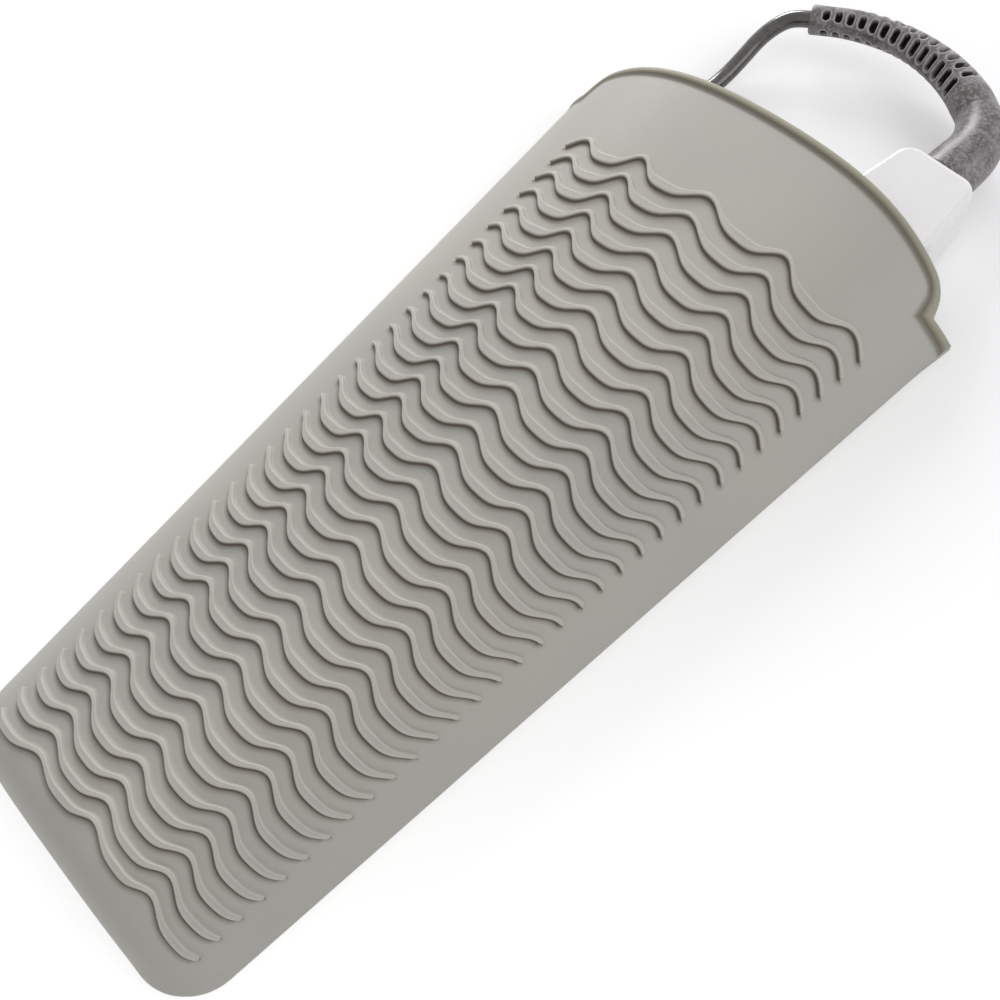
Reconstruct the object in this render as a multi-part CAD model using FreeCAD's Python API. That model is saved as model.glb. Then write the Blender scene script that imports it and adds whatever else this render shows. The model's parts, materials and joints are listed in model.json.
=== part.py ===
# Hair crimper lying on its side in a silicone heat sleeve, with its cord folded into the sleeve.
# Millimetres. +Y runs from the sleeve's closed end to its mouth, +X across, +Z up from the table.
import FreeCAD, Part
import math
import os

from FreeCAD import Vector

# Sleeve: plan
closed_half_width = 54.5
ear_half_width = 76.6
ear_y = 282.0
closed_corner_radius = 18.0
ear_tip_rise = 2.0
ear_flare_length = 11.0
ear_flare = 1.0
shoulder_half_width = 70.0
shoulder_radius = 9.0
rim_apex_y = 299.0
rim_radius = 260.0
back_rim_apex_y = 291.0
back_rim_radius = 600.0
back_shoulder_radius = 5.0
# Sleeve: section
back_thickness = 2.2
seam_height = 4.0
closed_crown_height = 28.0
ear_crown_height = 32.0
crown_power = 4.0
closed_rise_length = 25.0
closed_rise_power = 4.0
front_thickness = 2.3
seam_band = 3.0
inner_crown_power = 4.6
bead_width = 3.0
bead_height = 0.9
crown_overrun = 3.0
mouth_overrun = 30.0
crown_side_reach = 1.12
crown_depth = 90.0
crown_rise_rows = 10
crown_far_rows = 10
crown_half_columns = 14
# Sleeve: moulded ridges, which change smoothly from the first at the mouth to the last
ridge_rows = 33
ridge_height = 1.3
ridge_thin = 1.5
ridge_crest_sharpening = 0.2
ridge_point_spacing = 3.0
ridge_middle_x = 8.0
ridge_reach_x = 55.0
ridge_y_terms = (254.5, -260.4, 34.9, -9.6)
ridge_side_swing = 0.6
ridge_drift_rows = 4
ridge_drift_y = -4.3
# each for the first, the middle and the last ridge, then the extra drift that the last ridge has
ridge_left = (-49.8, -42.0, -38.0, 0.0)
ridge_right = (65.0, 56.4, 49.6, 0.0)
ridge_swell = (1.8, 1.3, 0.8, 0.0)
ridge_tilt = (0.3, -0.2, -2.4, 0.2)
ridge_bow = (5.3, -1.5, -4.0, 8.1)
ridge_skew = (2.8, 0.6, -4.0, 0.8)
ridge_swing = (3.1, 2.5, 2.3, -0.7)
# x of the troughs and crests in turn, from left to right
ridge_turns = ((-58.0, -54.5, -52.0, 0.0), (-44.3, -42.2, -42.0, 0.0), (-33.0, -29.2, -32.2, 2.1),
               (-23.7, -20.1, -18.9, 2.8), (-12.4, -9.3, -5.7, 3.7), (1.9, 3.6, 7.3, 1.9),
               (18.8, 18.0, 21.2, 1.5), (32.1, 31.8, 33.1, 0.1), (45.3, 44.1, 44.8, -0.9),
               (58.9, 55.8, 54.8, -2.1), (74.6, 64.8, 66.3, 0.0))

# Tool: its place in the sleeve
tool_tilt_deg = 3.5
tool_tip_x = 24.0
tool_tip_y = 22.6
tool_lift = 0.3
# Tool: arms, in the tool's own frame with u across, v from the tip to the tail
tool_length = 300.0
tool_width = 20.0
pivot_v = 276.0
tip_half_thickness = 11.0
root_half_thickness = 16.3
arm_gap_half = 1.2
arm_wall = 1.8
arm_edge_radius = 4.0
tip_corner_radius = 7.0
tip_cap_length = 9.0
nose_gap = 0.6
open_angle_deg = 8.0
# Tool: tail housing
tail_half_thickness = 13.1
tail_corner_radius = 6.0
tail_edge_radius = 2.0
housing_wall = 1.8
housing_mouth_v = 270.0
# Tool: hinge
pin_radius = 2.5
pin_running_gap = 0.05
eye_radius = 7.0
eye_clear = 1.1
eye_neck_outer = 4.9
eye_neck_inner = 5.6
eye_neck_length = 12.0
knuckle_height = 12.0
washer_gap = 0.05
washer_thickness = 0.25
washer_radius = 5.0
cheek_thickness = 1.2
bracket_front_v = 236.0
knuckle_front_v = 232.0
bracket_inner_u = 3.4
bracket_outer_u = 11.6
spring_v = 261.0
spring_radius = 2.6
spring_wire_radius = 0.5
spring_turns = 6
spring_seat_gap = 0.1
tail_screw_u = 10.2
tail_screw_v = 289.0
tail_screw_grip = 8.0
tail_screw_recess = 0.3
clamp_half_width = 5.0
clamp_length = 4.0
clamp_gap = 0.2
clamp_squeeze = 0.2
# Tool: crimping plates
plate_start_v = 12.0
plate_length = 96.0
plate_width = 14.0
plate_back = 3.6
plate_wave_count = 5
plate_wave_height = 1.3
plate_face_gap = 0.35
plate_side_gap = 0.2
plate_travel = 0.8
carrier_end_margin = 2.5
carrier_depth = 7.6
heater_thickness = 2.4
heater_width = 10.0
heater_end_margin = 12.0
heater_back_gap = 0.3
heater_end_gap = 1.0
lead_groove_depth = 2.4
lead_groove_half = 3.0
cover_thickness = 1.6
cover_gap = 0.1
cover_end_v = 256.0
fuse_radius = 1.9
fuse_length = 11.0
fuse_setback = 3.0
fuse_rest_gap = 0.05
plate_back_gap = 0.2
# Tool: controls
board_start_v = 150.0
board_end_v = 232.0
board_height = 8.9
board_thickness = 1.2
board_inner_u = 3.2
board_outer_u = 10.6
button_u = 6.4
power_button_v = 168.0
heat_up_button_v = 184.0
heat_down_button_v = 196.0
power_button_radius = 2.9
heat_button_radius = 2.2
button_running_gap = 0.08
button_recess = 0.1
button_travel = 0.7
button_flange = 0.5
button_flange_height = 1.1
button_stop_gap = 0.1
button_stem_radius = 1.2
switch_size = 5.0
switch_height = 3.0
lens_start_v = 206.0
lens_end_v = 222.0
lens_width = 4.0
lens_lip = 1.0
post_radius = 2.0
post_root = 0.5
post_positions_v = (156.0, 227.0)
screw_radius = 1.1
screw_head_radius = 1.9
screw_head_height = 1.1
screw_hole_floor = 1.0
screw_end_gap = 1.0
screw_hole_gap = 0.1
lead_radius = 0.8

# Cord guard
guard_base_radius = 9.0
guard_neck_radius = 6.0
guard_flange_radius = 7.6
guard_flange_thickness = 1.4
guard_straight = 11.8
guard_elbow_radius = 20.0
guard_elbow_deg = 57.0
guard_curve_radius = 57.0
guard_curve_deg = 63.0
guard_root_radius = 6.7
guard_tip_radius = 4.8
guard_rib_count = 14
guard_rib_height = 0.9
guard_rib_shares = ((0.12, False), (0.3, True), (0.75, True), (0.93, False))
guard_smooth_share = 0.36
guard_smooth_steps = 14
guard_swell_steps = 12
guard_tip_straight = 8.0
guard_tip_lip = 0.4

# Cord, hank and plug
cord_diameter = 5.6
lead_exit_run = 5.2
hank_centre_u = -61.2
hank_lower_v = 157.0
hank_upper_v = 245.0
hank_fold_radius = 3 * cord_diameter
hank_turns_per_layer = 2
hank_pitch = 6.3
hank_layer_step = 6.1
hank_waist_draw = 6.0
hank_clearance = 0.3
tie_thickness = 1.0
tie_width = 14.0
plug_u = -66.0
plug_entry_v = 104.0
plug_relief_length = 10.0
plug_body_length = 32.0
plug_body_width = 22.0
plug_body_height = 12.0
plug_corner_radius = 3.0
plug_relief_radius = 4.2
plug_relief_lip = 0.4
plug_pin_length = 17.5
plug_pin_width = 6.3
plug_pin_thickness = 1.5
plug_pin_spacing = 12.7
# Cord: points chosen by hand, from where it turns beyond the guard to the hank, in the sleeve's frame
lead_route = [(-39.6, 346.0, 11.2), (-41.9, 339.4, 9.0), (-42.3, 330.8, 6.4), (-42.8, 320.4, 4.2),
              (-44.5, 306.0, 4.3), (-47.4, 288.2, 6.4)]
# and from the hank to the plug in the tool's frame
tail_route = [(-87.45, 146.0, 12.5), (-83.8, 135.5, 11.9), (-77.5, 127.0, 10.9), (-70.5, 119.5, 9.8),
              (-66.0, 111.3, 8.5)]
# and the thin leads, in the tool's frame too: from the cord clamp to the circuit board
mains_lead_routes = (
    [(2.0, 292.3, 11.5), (7.6, 287.3, 8.9), (9.1, 278.3, 7.7), (9.0, 268.0, 7.7), (8.8, 255.0, 7.7),
     (7.6, 246.0, 8.7), (6.0, 239.0, 11.4), (5.8, 232.2, 13.8)],
    [(-2.0, 292.3, 13.5), (3.4, 289.3, 15.5), (8.0, 284.3, 16.8), (9.2, 275.3, 17.2), (9.0, 262.0, 17.2),
     (8.8, 251.0, 17.2), (8.2, 243.0, 16.2), (8.0, 232.2, 13.8)])
# and from the fixed heater to the circuit board
heater_lead_routes = (
    [(4.8, 96.2, 10.5), (4.9, 113.2, 10.5), (5.0, 126.2, 12.2), (5.2, 138.2, 13.8), (5.4, 149.8, 13.8)],
    [(4.8, 96.2, 14.5), (4.9, 113.2, 14.5), (6.5, 126.2, 14.2), (8.2, 138.2, 13.8), (8.4, 149.8, 13.8)])

# Working allowances for cutting and finding edges
highest = 60.0
overrun = 1.0
tolerance = 1e-4
least_upright = 0.5

# Worked out from the sizes above
tool_bottom = back_thickness + tool_lift
tool_top = tool_bottom + tool_width
tool_middle = (tool_bottom + tool_top) / 2
inside_bottom = tool_bottom + arm_wall
inside_top = tool_top - arm_wall
nose_radius = root_half_thickness
cord_radius = cord_diameter / 2
hank_first_z = back_thickness + tool_lift + tie_thickness + hank_clearance + cord_radius
TILT = math.radians(tool_tilt_deg)
VERTICAL = Vector(0, 0, 1)
CORD_NODES = ("cord_guard", "cord_lead", "cord_hank", "cord_tail", "hank_tie", "plug_body", "plug_pins")
OUTERMOST_NODES = ("sleeve_back_sheet", "sleeve_front_sheet", "tail_housing", "tail_cover")


# Small helpers

def box(x0, x1, y0, y1, z0, z1):
    return Part.makeBox(x1 - x0, y1 - y0, z1 - z0, Vector(x0, y0, z0))


def upright(radius, u, v, low, high):
    return Part.makeCylinder(radius, high - low, Vector(u, v, low))


def along(radius, start, end):
    start, end = Vector(*start), Vector(*end)
    run = end - start
    return Part.makeCylinder(radius, run.Length, start, run)


def prism(wire, low, high):
    face = Part.Face(wire)
    face.translate(Vector(0, 0, low))
    return face.extrude(Vector(0, 0, high - low))


def polygon(points):
    corners = [Vector(x, y, 0) for x, y in points]
    return Part.makePolygon(corners + corners[:1])


def line(a, b):
    return Part.LineSegment(a, b).toShape()


def arc(a, middle, b):
    return Part.Arc(a, middle, b).toShape()


def fuse(shapes):
    whole = shapes[0].fuse(shapes[1:]) if len(shapes) > 1 else shapes[0]
    return whole.removeSplitter()


def rounded(shape, radius, chosen):
    edges = [edge for edge in shape.Edges if chosen(edge)]
    return shape.makeFillet(radius, edges)


def is_upright(edge):
    box_of = edge.BoundBox
    return box_of.ZLength > least_upright and box_of.XLength < tolerance and box_of.YLength < tolerance


def is_level(edge):
    return edge.BoundBox.ZLength < tolerance and not is_upright(edge)


def lies_at(value, target):
    return abs(value - target) < tolerance


def mirrored(shape):
    return shape.mirror(Vector(0, 0, 0), Vector(1, 0, 0))


def in_sleeve(shape):
    # from the tool's own frame to its place in the sleeve
    placed = shape.copy()
    placed.rotate(Vector(0, 0, 0), VERTICAL, -tool_tilt_deg)
    placed.translate(Vector(tool_tip_x, tool_tip_y, 0))
    return placed


def point_in_sleeve(u, v, z):
    x = tool_tip_x + u * math.cos(TILT) + v * math.sin(TILT)
    y = tool_tip_y - u * math.sin(TILT) + v * math.cos(TILT)
    return Vector(x, y, z)


# Sleeve: crowned surfaces

def half_width(y):
    return closed_half_width + (ear_half_width - closed_half_width) * y / ear_y


def crown_height(y):
    return closed_crown_height + (ear_crown_height - closed_crown_height) * y / ear_y


def closed_end_rise(y, start):
    share = min((y - start) / closed_rise_length, 1.0)
    return 1 - (1 - share) ** closed_rise_power


def under_crown(band, sink, foot, power):
    # everything under a crowned sheet drawn in by a band all round; it dips below the table outside
    first_y, rise_end_y = band - crown_overrun, band + closed_rise_length
    far_y = rim_apex_y + mouth_overrun
    rise_steps = [first_y + (rise_end_y - first_y) * k / crown_rise_rows for k in range(crown_rise_rows + 1)]
    far_steps = [rise_end_y + (far_y - rise_end_y) * (k + 1) / crown_far_rows for k in range(crown_far_rows)]
    across = [crown_side_reach * (k / crown_half_columns - 1) for k in range(2 * crown_half_columns + 1)]
    rows = []
    for y in rise_steps + far_steps:
        half = half_width(y) - band
        top = (crown_height(y) - sink - foot) * closed_end_rise(y, band)
        rows.append([Vector(half * s, y, foot + top * (1 - abs(s) ** power)) for s in across])
    surface = Part.BSplineSurface()
    surface.interpolate(rows)
    return surface.toShape().extrude(Vector(0, 0, -crown_depth))


def closed_corner(inset):
    # the rounded corner at the right of the closed end: its start, middle and end, and the side's slope
    flare_y = ear_y - ear_flare_length
    low, flare_x = closed_half_width - inset, half_width(flare_y) - inset
    radius = closed_corner_radius - inset
    slope = math.atan2(flare_y - inset, flare_x - low)
    cut = radius * math.tan(slope / 2)
    start = Vector(low - cut, inset, 0)
    end = Vector(low + cut * math.cos(slope), inset + cut * math.sin(slope), 0)
    centre = start + Vector(0, radius, 0)
    middle = centre + (Vector(low, inset, 0) - centre).normalize() * radius
    return start, middle, end, slope


def both_sides(right):
    left = [edge.mirror(Vector(0, 0, 0), Vector(1, 0, 0)) for edge in right]
    return Part.Wire(Part.__sortEdges__(right + left))


def cavity_outline():
    # the room inside the seam, running on past the mouth
    start, middle, end, slope = closed_corner(seam_band)
    far_y = rim_apex_y + mouth_overrun
    far = Vector(end.x + (far_y - end.y) / math.tan(slope), far_y, 0)
    return both_sides([line(Vector(0, seam_band, 0), start), arc(start, middle, end), line(end, far),
                       line(far, Vector(0, far_y, 0))])


def sheet_outline(apex_y, big_radius, corner_radius, inset=0.0):
    # closed end, tapered sides with a pointed ear each, and an arched rim with round shoulders
    big, corner = big_radius - inset, corner_radius - inset
    side_x = shoulder_half_width - inset
    centre_y = apex_y - big_radius
    corner_x = side_x - corner
    corner_y = centre_y + math.sqrt((big - corner) ** 2 - corner_x ** 2)
    reach = big / (big - corner)
    touch = Vector(corner_x * reach, centre_y + (corner_y - centre_y) * reach, 0)
    turn = math.atan2(corner_y - centre_y, corner_x) / 2
    shoulder_middle = Vector(corner_x + corner * math.cos(turn), corner_y + corner * math.sin(turn), 0)
    rim_middle = Vector(touch.x / 2, centre_y + math.sqrt(big ** 2 - touch.x ** 2 / 4), 0)
    start, middle, end, slope = closed_corner(inset)
    flare_y = ear_y - ear_flare_length
    flare = Vector(half_width(flare_y) - inset, flare_y, 0)
    ear_tip = Vector(ear_half_width + ear_flare - inset, ear_y + ear_tip_rise, 0)
    notch = Vector(side_x, corner_y, 0)
    return both_sides([line(Vector(0, inset, 0), start), arc(start, middle, end), line(end, flare),
                       line(flare, ear_tip), line(ear_tip, notch), arc(notch, shoulder_middle, touch),
                       arc(touch, rim_middle, Vector(0, apex_y - inset, 0))])


# Sleeve: sheets and ridges

def sleeve_sheets():
    front_plan = sheet_outline(rim_apex_y, rim_radius, shoulder_radius)
    bead_plan = sheet_outline(rim_apex_y, rim_radius, shoulder_radius, bead_width)
    back_plan = sheet_outline(back_rim_apex_y, back_rim_radius, back_shoulder_radius)
    crown = under_crown(0, 0, seam_height, crown_power)
    raised = under_crown(0, -bead_height, seam_height + bead_height, crown_power)
    room = under_crown(seam_band, front_thickness, back_thickness, inner_crown_power)
    room = room.common(prism(cavity_outline(), 0, highest))
    block = prism(front_plan, back_thickness, highest)
    inset_block = prism(bead_plan, back_thickness, highest)
    mouth_end = box(-2 * highest, 2 * highest, ear_y + overrun, rim_apex_y + overrun, 0, highest)
    bead = raised.common(block.cut(inset_block).common(mouth_end)).cut(room)
    front = crown.common(block).cut(room).fuse(bead)
    return {"sleeve_back_sheet": prism(back_plan, 0, back_thickness), "sleeve_front_sheet": front}


def ridge_outline(row):
    # one wavy band: thin at the crests that point to the mouth, swollen in the rounded troughs
    share = row / (ridge_rows - 1)
    drift = max(0.0, 1 - (ridge_rows - 1 - row) / ridge_drift_rows) ** 2

    def on_row(values):
        first, middle, last, last_drift = values
        return (first * (1 - share) * (1 - 2 * share) + middle * 4 * share * (1 - share)
                + last * share * (2 * share - 1) + last_drift * drift)

    left, right = on_row(ridge_left), on_row(ridge_right)
    swell, swing = on_row(ridge_swell), on_row(ridge_swing)
    tilt, bow, skew = on_row(ridge_tilt), on_row(ridge_bow), on_row(ridge_skew)
    turns = [on_row(values) for values in ridge_turns]
    row_y = sum(term * share ** power for power, term in enumerate(ridge_y_terms)) + ridge_drift_y * drift

    def wave_angle(x):
        # an odd number of half turns at each trough and an even one at each crest
        half_turns = 1
        while x > turns[half_turns] and half_turns < len(turns) - 1:
            half_turns += 1
        start, end = turns[half_turns - 1], turns[half_turns]
        return math.pi * (half_turns + (x - start) / (end - start))

    def lower_edge(x):
        angle, side = wave_angle(x), (x - ridge_middle_x) / ridge_reach_x
        wave = math.cos(angle) + ridge_crest_sharpening * (math.cos(2 * angle) - 1)
        line = row_y + tilt * side + bow * (1 - side ** 2) + skew * (side ** 3 - side)
        return line + (swing + ridge_side_swing * side ** 2) * wave

    def thickness(x):
        return ridge_thin + swell * (1 - math.cos(wave_angle(x))) / 2

    steps = round((right - left) / ridge_point_spacing)
    xs = [left + (right - left) * k / steps for k in range(steps + 1)]
    lower = [Vector(x, lower_edge(x), 0) for x in xs]
    upper = [Vector(x, lower_edge(x) + thickness(x), 0) for x in reversed(xs)]
    curves = []
    for points in (lower, upper):
        curve = Part.BSplineCurve()
        curve.interpolate(points)
        curves.append(curve.toShape())
    right_bulge = Vector(right + thickness(right) / 2, (lower[-1].y + upper[0].y) / 2, 0)
    left_bulge = Vector(left - thickness(left) / 2, (lower[0].y + upper[-1].y) / 2, 0)
    return Part.Wire([curves[0], arc(lower[-1], right_bulge, upper[0]), curves[1],
                      arc(upper[-1], left_bulge, lower[0])])


def sleeve_ridges():
    crown = under_crown(0, 0, seam_height, crown_power)
    lifted = under_crown(0, -ridge_height, seam_height + ridge_height, crown_power)
    bands = [prism(ridge_outline(row), seam_height, highest) for row in range(ridge_rows)]
    return Part.makeCompound([band.common(lifted).cut(crown) for band in bands])


# Tool: arms

def outer_u(v):
    return tip_half_thickness + (root_half_thickness - tip_half_thickness) * v / pivot_v


def arm_block():
    # the solid outer form of the arm on the +u side
    back_v = pivot_v
    plan = polygon([(arm_gap_half, 0), (outer_u(0), 0), (outer_u(back_v), back_v), (arm_gap_half, back_v)])
    block = prism(plan, tool_bottom, tool_top)
    tip_edge = lambda e: (is_upright(e) and e.BoundBox.YMax < overrun
                          and e.BoundBox.XMin > arm_gap_half + overrun)
    block = rounded(block, tip_corner_radius, tip_edge)
    outer = lambda e: (is_level(e)
                       and (lies_at(e.BoundBox.ZMin, tool_bottom) or lies_at(e.BoundBox.ZMin, tool_top))
                       and e.BoundBox.XMax > arm_gap_half + overrun and e.BoundBox.YMin < back_v - overrun)
    block = rounded(block, arm_edge_radius, outer)
    nose = upright(nose_radius + nose_gap, 0, pivot_v, tool_bottom - overrun, tool_top + overrun)
    return block.cut(nose).cut(box(-overrun, highest, pivot_v - overrun, pivot_v + overrun, 0, highest))


def arm_channel(start_v):
    # the hollow inside an arm, open towards the other arm and at the root
    inner_u = arm_gap_half - overrun
    plan = polygon([(inner_u, start_v), (outer_u(start_v) - arm_wall, start_v),
                    (outer_u(pivot_v) - arm_wall, pivot_v), (inner_u, pivot_v)])
    return prism(plan, inside_bottom, inside_top)


def tip_cap():
    return arm_block().common(box(0, highest, -overrun, tip_cap_length, 0, highest))


def arm_shell():
    hollow = arm_channel(tip_cap_length - overrun)
    return arm_block().cut(box(-overrun, highest, -overrun, tip_cap_length, 0, highest)).cut(hollow)


def plate_end_v():
    return plate_start_v + plate_length


def plate_carrier(travel):
    start = plate_start_v - carrier_end_margin
    end = plate_end_v() + carrier_end_margin
    inner = arm_gap_half
    block = box(inner, inner + carrier_depth, start, end, inside_bottom + cover_gap, inside_top - cover_gap)
    half = plate_width / 2 + plate_side_gap
    seat = box(inner - overrun, plate_back + travel, plate_start_v - plate_side_gap,
               plate_end_v() + plate_side_gap, tool_middle - half, tool_middle + half)
    heater_half = heater_width / 2 + plate_side_gap
    well_start = plate_start_v + heater_end_margin - heater_end_gap
    well_end = plate_end_v() - heater_end_margin + heater_end_gap
    well = box(plate_back, plate_back + travel + heater_thickness + heater_back_gap, well_start, well_end,
               tool_middle - heater_half, tool_middle + heater_half)
    groove = box(plate_back, plate_back + lead_groove_depth, plate_end_v() - heater_end_margin, end + overrun,
                 tool_middle - lead_groove_half, tool_middle + lead_groove_half)
    return block.cut(seat).cut(well).cut(groove)


def crimp_plate(side):
    # a flat back and a zigzag face whose folds run along the tool, both plates folded in step
    pitch = plate_width / plate_wave_count
    low = tool_middle - plate_width / 2
    trough = side * plate_face_gap - plate_wave_height / 2
    face = [(trough, low)]
    for k in range(plate_wave_count):
        face.append((trough + plate_wave_height, low + pitch * (k + 0.5)))
        face.append((trough, low + pitch * (k + 1)))
    back = [(side * plate_back, low + plate_width), (side * plate_back, low)]
    corners = [Vector(u, plate_start_v, z) for u, z in face + back]
    return Part.Face(Part.makePolygon(corners + corners[:1])).extrude(Vector(0, plate_length, 0))


def heater():
    half = heater_width / 2
    return box(plate_back, plate_back + heater_thickness, plate_start_v + heater_end_margin,
               plate_end_v() - heater_end_margin, tool_middle - half, tool_middle + half)


def inner_cover():
    start = plate_end_v() + carrier_end_margin + cover_gap
    return box(arm_gap_half, arm_gap_half + cover_thickness, start, cover_end_v,
               inside_bottom + cover_gap, inside_top - cover_gap)


def controls():
    # button name, place along the arm, cap radius
    return (("power_button", power_button_v, power_button_radius),
            ("heat_up_button", heat_up_button_v, heat_button_radius),
            ("heat_down_button", heat_down_button_v, heat_button_radius))


def board_low_z():
    return inside_bottom + board_height


def switch_top_z():
    return board_low_z() + board_thickness + switch_height


def fixed_arm_shell():
    shell = arm_shell()
    for _, v, radius in controls():
        opening = upright(radius + button_running_gap, button_u, v, inside_top - overrun, tool_top + overrun)
        shell = shell.cut(opening)
    window = box(button_u - lens_width / 2, button_u + lens_width / 2, lens_start_v, lens_end_v,
                 inside_top - overrun, tool_top + overrun)
    shell = shell.cut(window)
    for v in post_positions_v:
        post = upright(post_radius, button_u, v, inside_bottom - post_root, board_low_z())
        hole = upright(screw_radius, button_u, v, inside_bottom + screw_hole_floor, board_low_z() + overrun)
        shell = shell.fuse(post).cut(hole)
    return shell


def lens():
    half = lens_width / 2
    pane = box(button_u - half, button_u + half, lens_start_v, lens_end_v, inside_top,
               tool_top - button_recess)
    lip = box(button_u - half - lens_lip, button_u + half + lens_lip, lens_start_v - lens_lip,
              lens_end_v + lens_lip, inside_top - lens_lip, inside_top)
    return pane.fuse(lip)


def circuit_board():
    board = box(board_inner_u, board_outer_u, board_start_v, board_end_v, board_low_z(),
                board_low_z() + board_thickness)
    for v in post_positions_v:
        board = board.cut(upright(screw_radius + screw_hole_gap, button_u, v, inside_bottom, inside_top))
    return board


def board_screws():
    top = board_low_z() + board_thickness
    screws = []
    for v in post_positions_v:
        shank = upright(screw_radius, button_u, v, inside_bottom + screw_hole_floor + screw_end_gap, top)
        screws.append(shank.fuse(upright(screw_head_radius, button_u, v, top, top + screw_head_height)))
    return Part.makeCompound(screws)


def tact_switches():
    low = board_low_z() + board_thickness
    half = switch_size / 2
    return Part.makeCompound([box(button_u - half, button_u + half, v - half, v + half, low, switch_top_z())
                              for _, v, _ in controls()])


def button(v, radius):
    flange_top = inside_top - button_stop_gap
    cap = upright(radius, button_u, v, flange_top, tool_top - button_recess)
    flange = upright(radius + button_flange, button_u, v, flange_top - button_flange_height, flange_top)
    stem = upright(button_stem_radius, button_u, v, switch_top_z() + button_travel + button_stop_gap,
                   flange_top - button_flange_height)
    return fuse([cap, flange, stem])


# Tool: hinge and tail

def tail_plan(wall=0.0):
    # a round nose about the hinge pin that runs into a tapered tail
    side, tail = nose_radius - wall, tail_half_thickness - wall
    end_v = tool_length - wall
    right, left = Vector(side, pivot_v, 0), Vector(-side, pivot_v, 0)
    right_end, left_end = Vector(tail, end_v, 0), Vector(-tail, end_v, 0)
    return Part.Wire([line(right, right_end), line(right_end, left_end), line(left_end, left),
                      arc(left, Vector(0, pivot_v - side, 0), right)])


def tail_block():
    block = prism(tail_plan(), tool_bottom, tool_top)
    rear = lambda e: is_upright(e) and e.BoundBox.YMin > tool_length - overrun
    block = rounded(block, tail_corner_radius, rear)
    return rounded(block, tail_edge_radius, is_level)


def tail_housing():
    block = tail_block().common(box(-highest, highest, 0, tool_length + overrun, inside_bottom, highest))
    hollow = prism(tail_plan(housing_wall), inside_bottom - overrun, inside_top)
    rear = lambda e: is_upright(e) and e.BoundBox.YMin > tool_length - housing_wall - overrun
    hollow = rounded(hollow, tail_corner_radius - housing_wall, rear)
    mouth = box(-highest, highest, pivot_v - nose_radius - overrun, housing_mouth_v, inside_bottom - overrun,
                inside_top)
    cord_hole = along(guard_neck_radius, (0, tool_length - housing_wall - overrun, tool_middle),
                      (0, tool_length + overrun, tool_middle))
    return block.cut(hollow).cut(mouth).cut(cord_hole)


def tail_cover():
    return tail_block().common(box(-highest, highest, 0, tool_length + overrun, 0, inside_bottom))


def cheek_levels():
    half = knuckle_height / 2 + washer_gap + washer_thickness
    return (tool_middle - half - cheek_thickness, tool_middle + half)


def tang_end_v():
    return pivot_v - eye_radius - eye_clear


def link_plate(front_v, low, high):
    # an eye round the pin with a tang that runs forward into the +u arm
    eye = upright(eye_radius, 0, pivot_v, low, high)
    plan = polygon([(bracket_inner_u, front_v), (bracket_outer_u, front_v), (bracket_outer_u, tang_end_v()),
                    (eye_neck_outer, pivot_v), (-overrun, pivot_v - eye_neck_inner),
                    (bracket_inner_u, pivot_v - eye_neck_length)])
    return eye.fuse(prism(plan, low, high)).removeSplitter()


def hinge_bracket():
    lower, upper = cheek_levels()
    cheeks = [link_plate(bracket_front_v, z, z + cheek_thickness) for z in (lower, upper)]
    web = box(bracket_outer_u - cheek_thickness, bracket_outer_u, bracket_front_v, tang_end_v(),
              lower, upper + cheek_thickness)
    hole = upright(pin_radius, 0, pivot_v, inside_bottom, inside_top)
    return fuse(cheeks + [web]).cut(hole)


def moving_knuckle():
    half = knuckle_height / 2
    plate = link_plate(knuckle_front_v, tool_middle - half, tool_middle + half)
    hole = upright(pin_radius + pin_running_gap, 0, pivot_v, inside_bottom, inside_top)
    return mirrored(plate.cut(hole))


def hinge_pin():
    return upright(pin_radius, 0, pivot_v, inside_bottom, inside_top)


def hinge_washers():
    lower, upper = cheek_levels()
    rings = []
    for low in (lower + cheek_thickness, upper - washer_thickness):
        ring = upright(washer_radius, 0, pivot_v, low, low + washer_thickness)
        rings.append(ring.cut(hinge_pin()))
    return Part.makeCompound(rings)


def tail_screws():
    # two screws from below that hold the tail cover to the housing's corners
    screws = []
    for u in (-1, 1):
        place = (u * tail_screw_u, tail_screw_v)
        low = tool_bottom + tail_screw_recess
        head = upright(screw_head_radius, *place, low, low + screw_head_height)
        screws.append(head.fuse(upright(screw_radius, *place, low, inside_bottom + tail_screw_grip)))
    return Part.makeCompound(screws)


def tail_posts():
    return [upright(post_radius, u * tail_screw_u, tail_screw_v, inside_bottom, inside_top) for u in (-1, 1)]


def cord_clamp():
    # a saddle behind the guard's flange that holds the cord's sheath
    back_v = tool_length - housing_wall - guard_flange_thickness - clamp_gap
    bar = box(-clamp_half_width, clamp_half_width, back_v - clamp_length, back_v, inside_bottom, tool_middle)
    saddle = along(cord_radius - clamp_squeeze, (0, back_v - clamp_length - overrun, tool_middle),
                   (0, back_v + overrun, tool_middle))
    return bar.cut(saddle)


def wire_path(points, radius):
    # straight runs joined by tangent arcs, each as large as its two runs allow, swept by a round section
    points = [Vector(*p) for p in points]
    edges, here, radii = [], points[0], []
    for before, corner, after in zip(points, points[1:], points[2:]):
        back, ahead = before - corner, after - corner
        share = 0.45 * min(back.Length, ahead.Length)
        turn = math.pi - back.getAngle(ahead)
        radii.append(share / math.tan(turn / 2))
        back.normalize()
        ahead.normalize()
        arc_start, arc_end = corner + back * share, corner + ahead * share
        bisector = (back + ahead).normalize()
        depth = radii[-1] * (1 / math.cos(turn / 2) - 1)
        edges.append(line(here, arc_start))
        edges.append(arc(arc_start, corner + bisector * depth, arc_end))
        here = arc_end
    edges.append(line(here, points[-1]))
    path = Part.Wire(edges)
    ring = Part.Wire(Part.makeCircle(radius, points[0], points[1] - points[0]))
    return path.makePipeShell([ring], True, False), path.Length, radii


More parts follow.
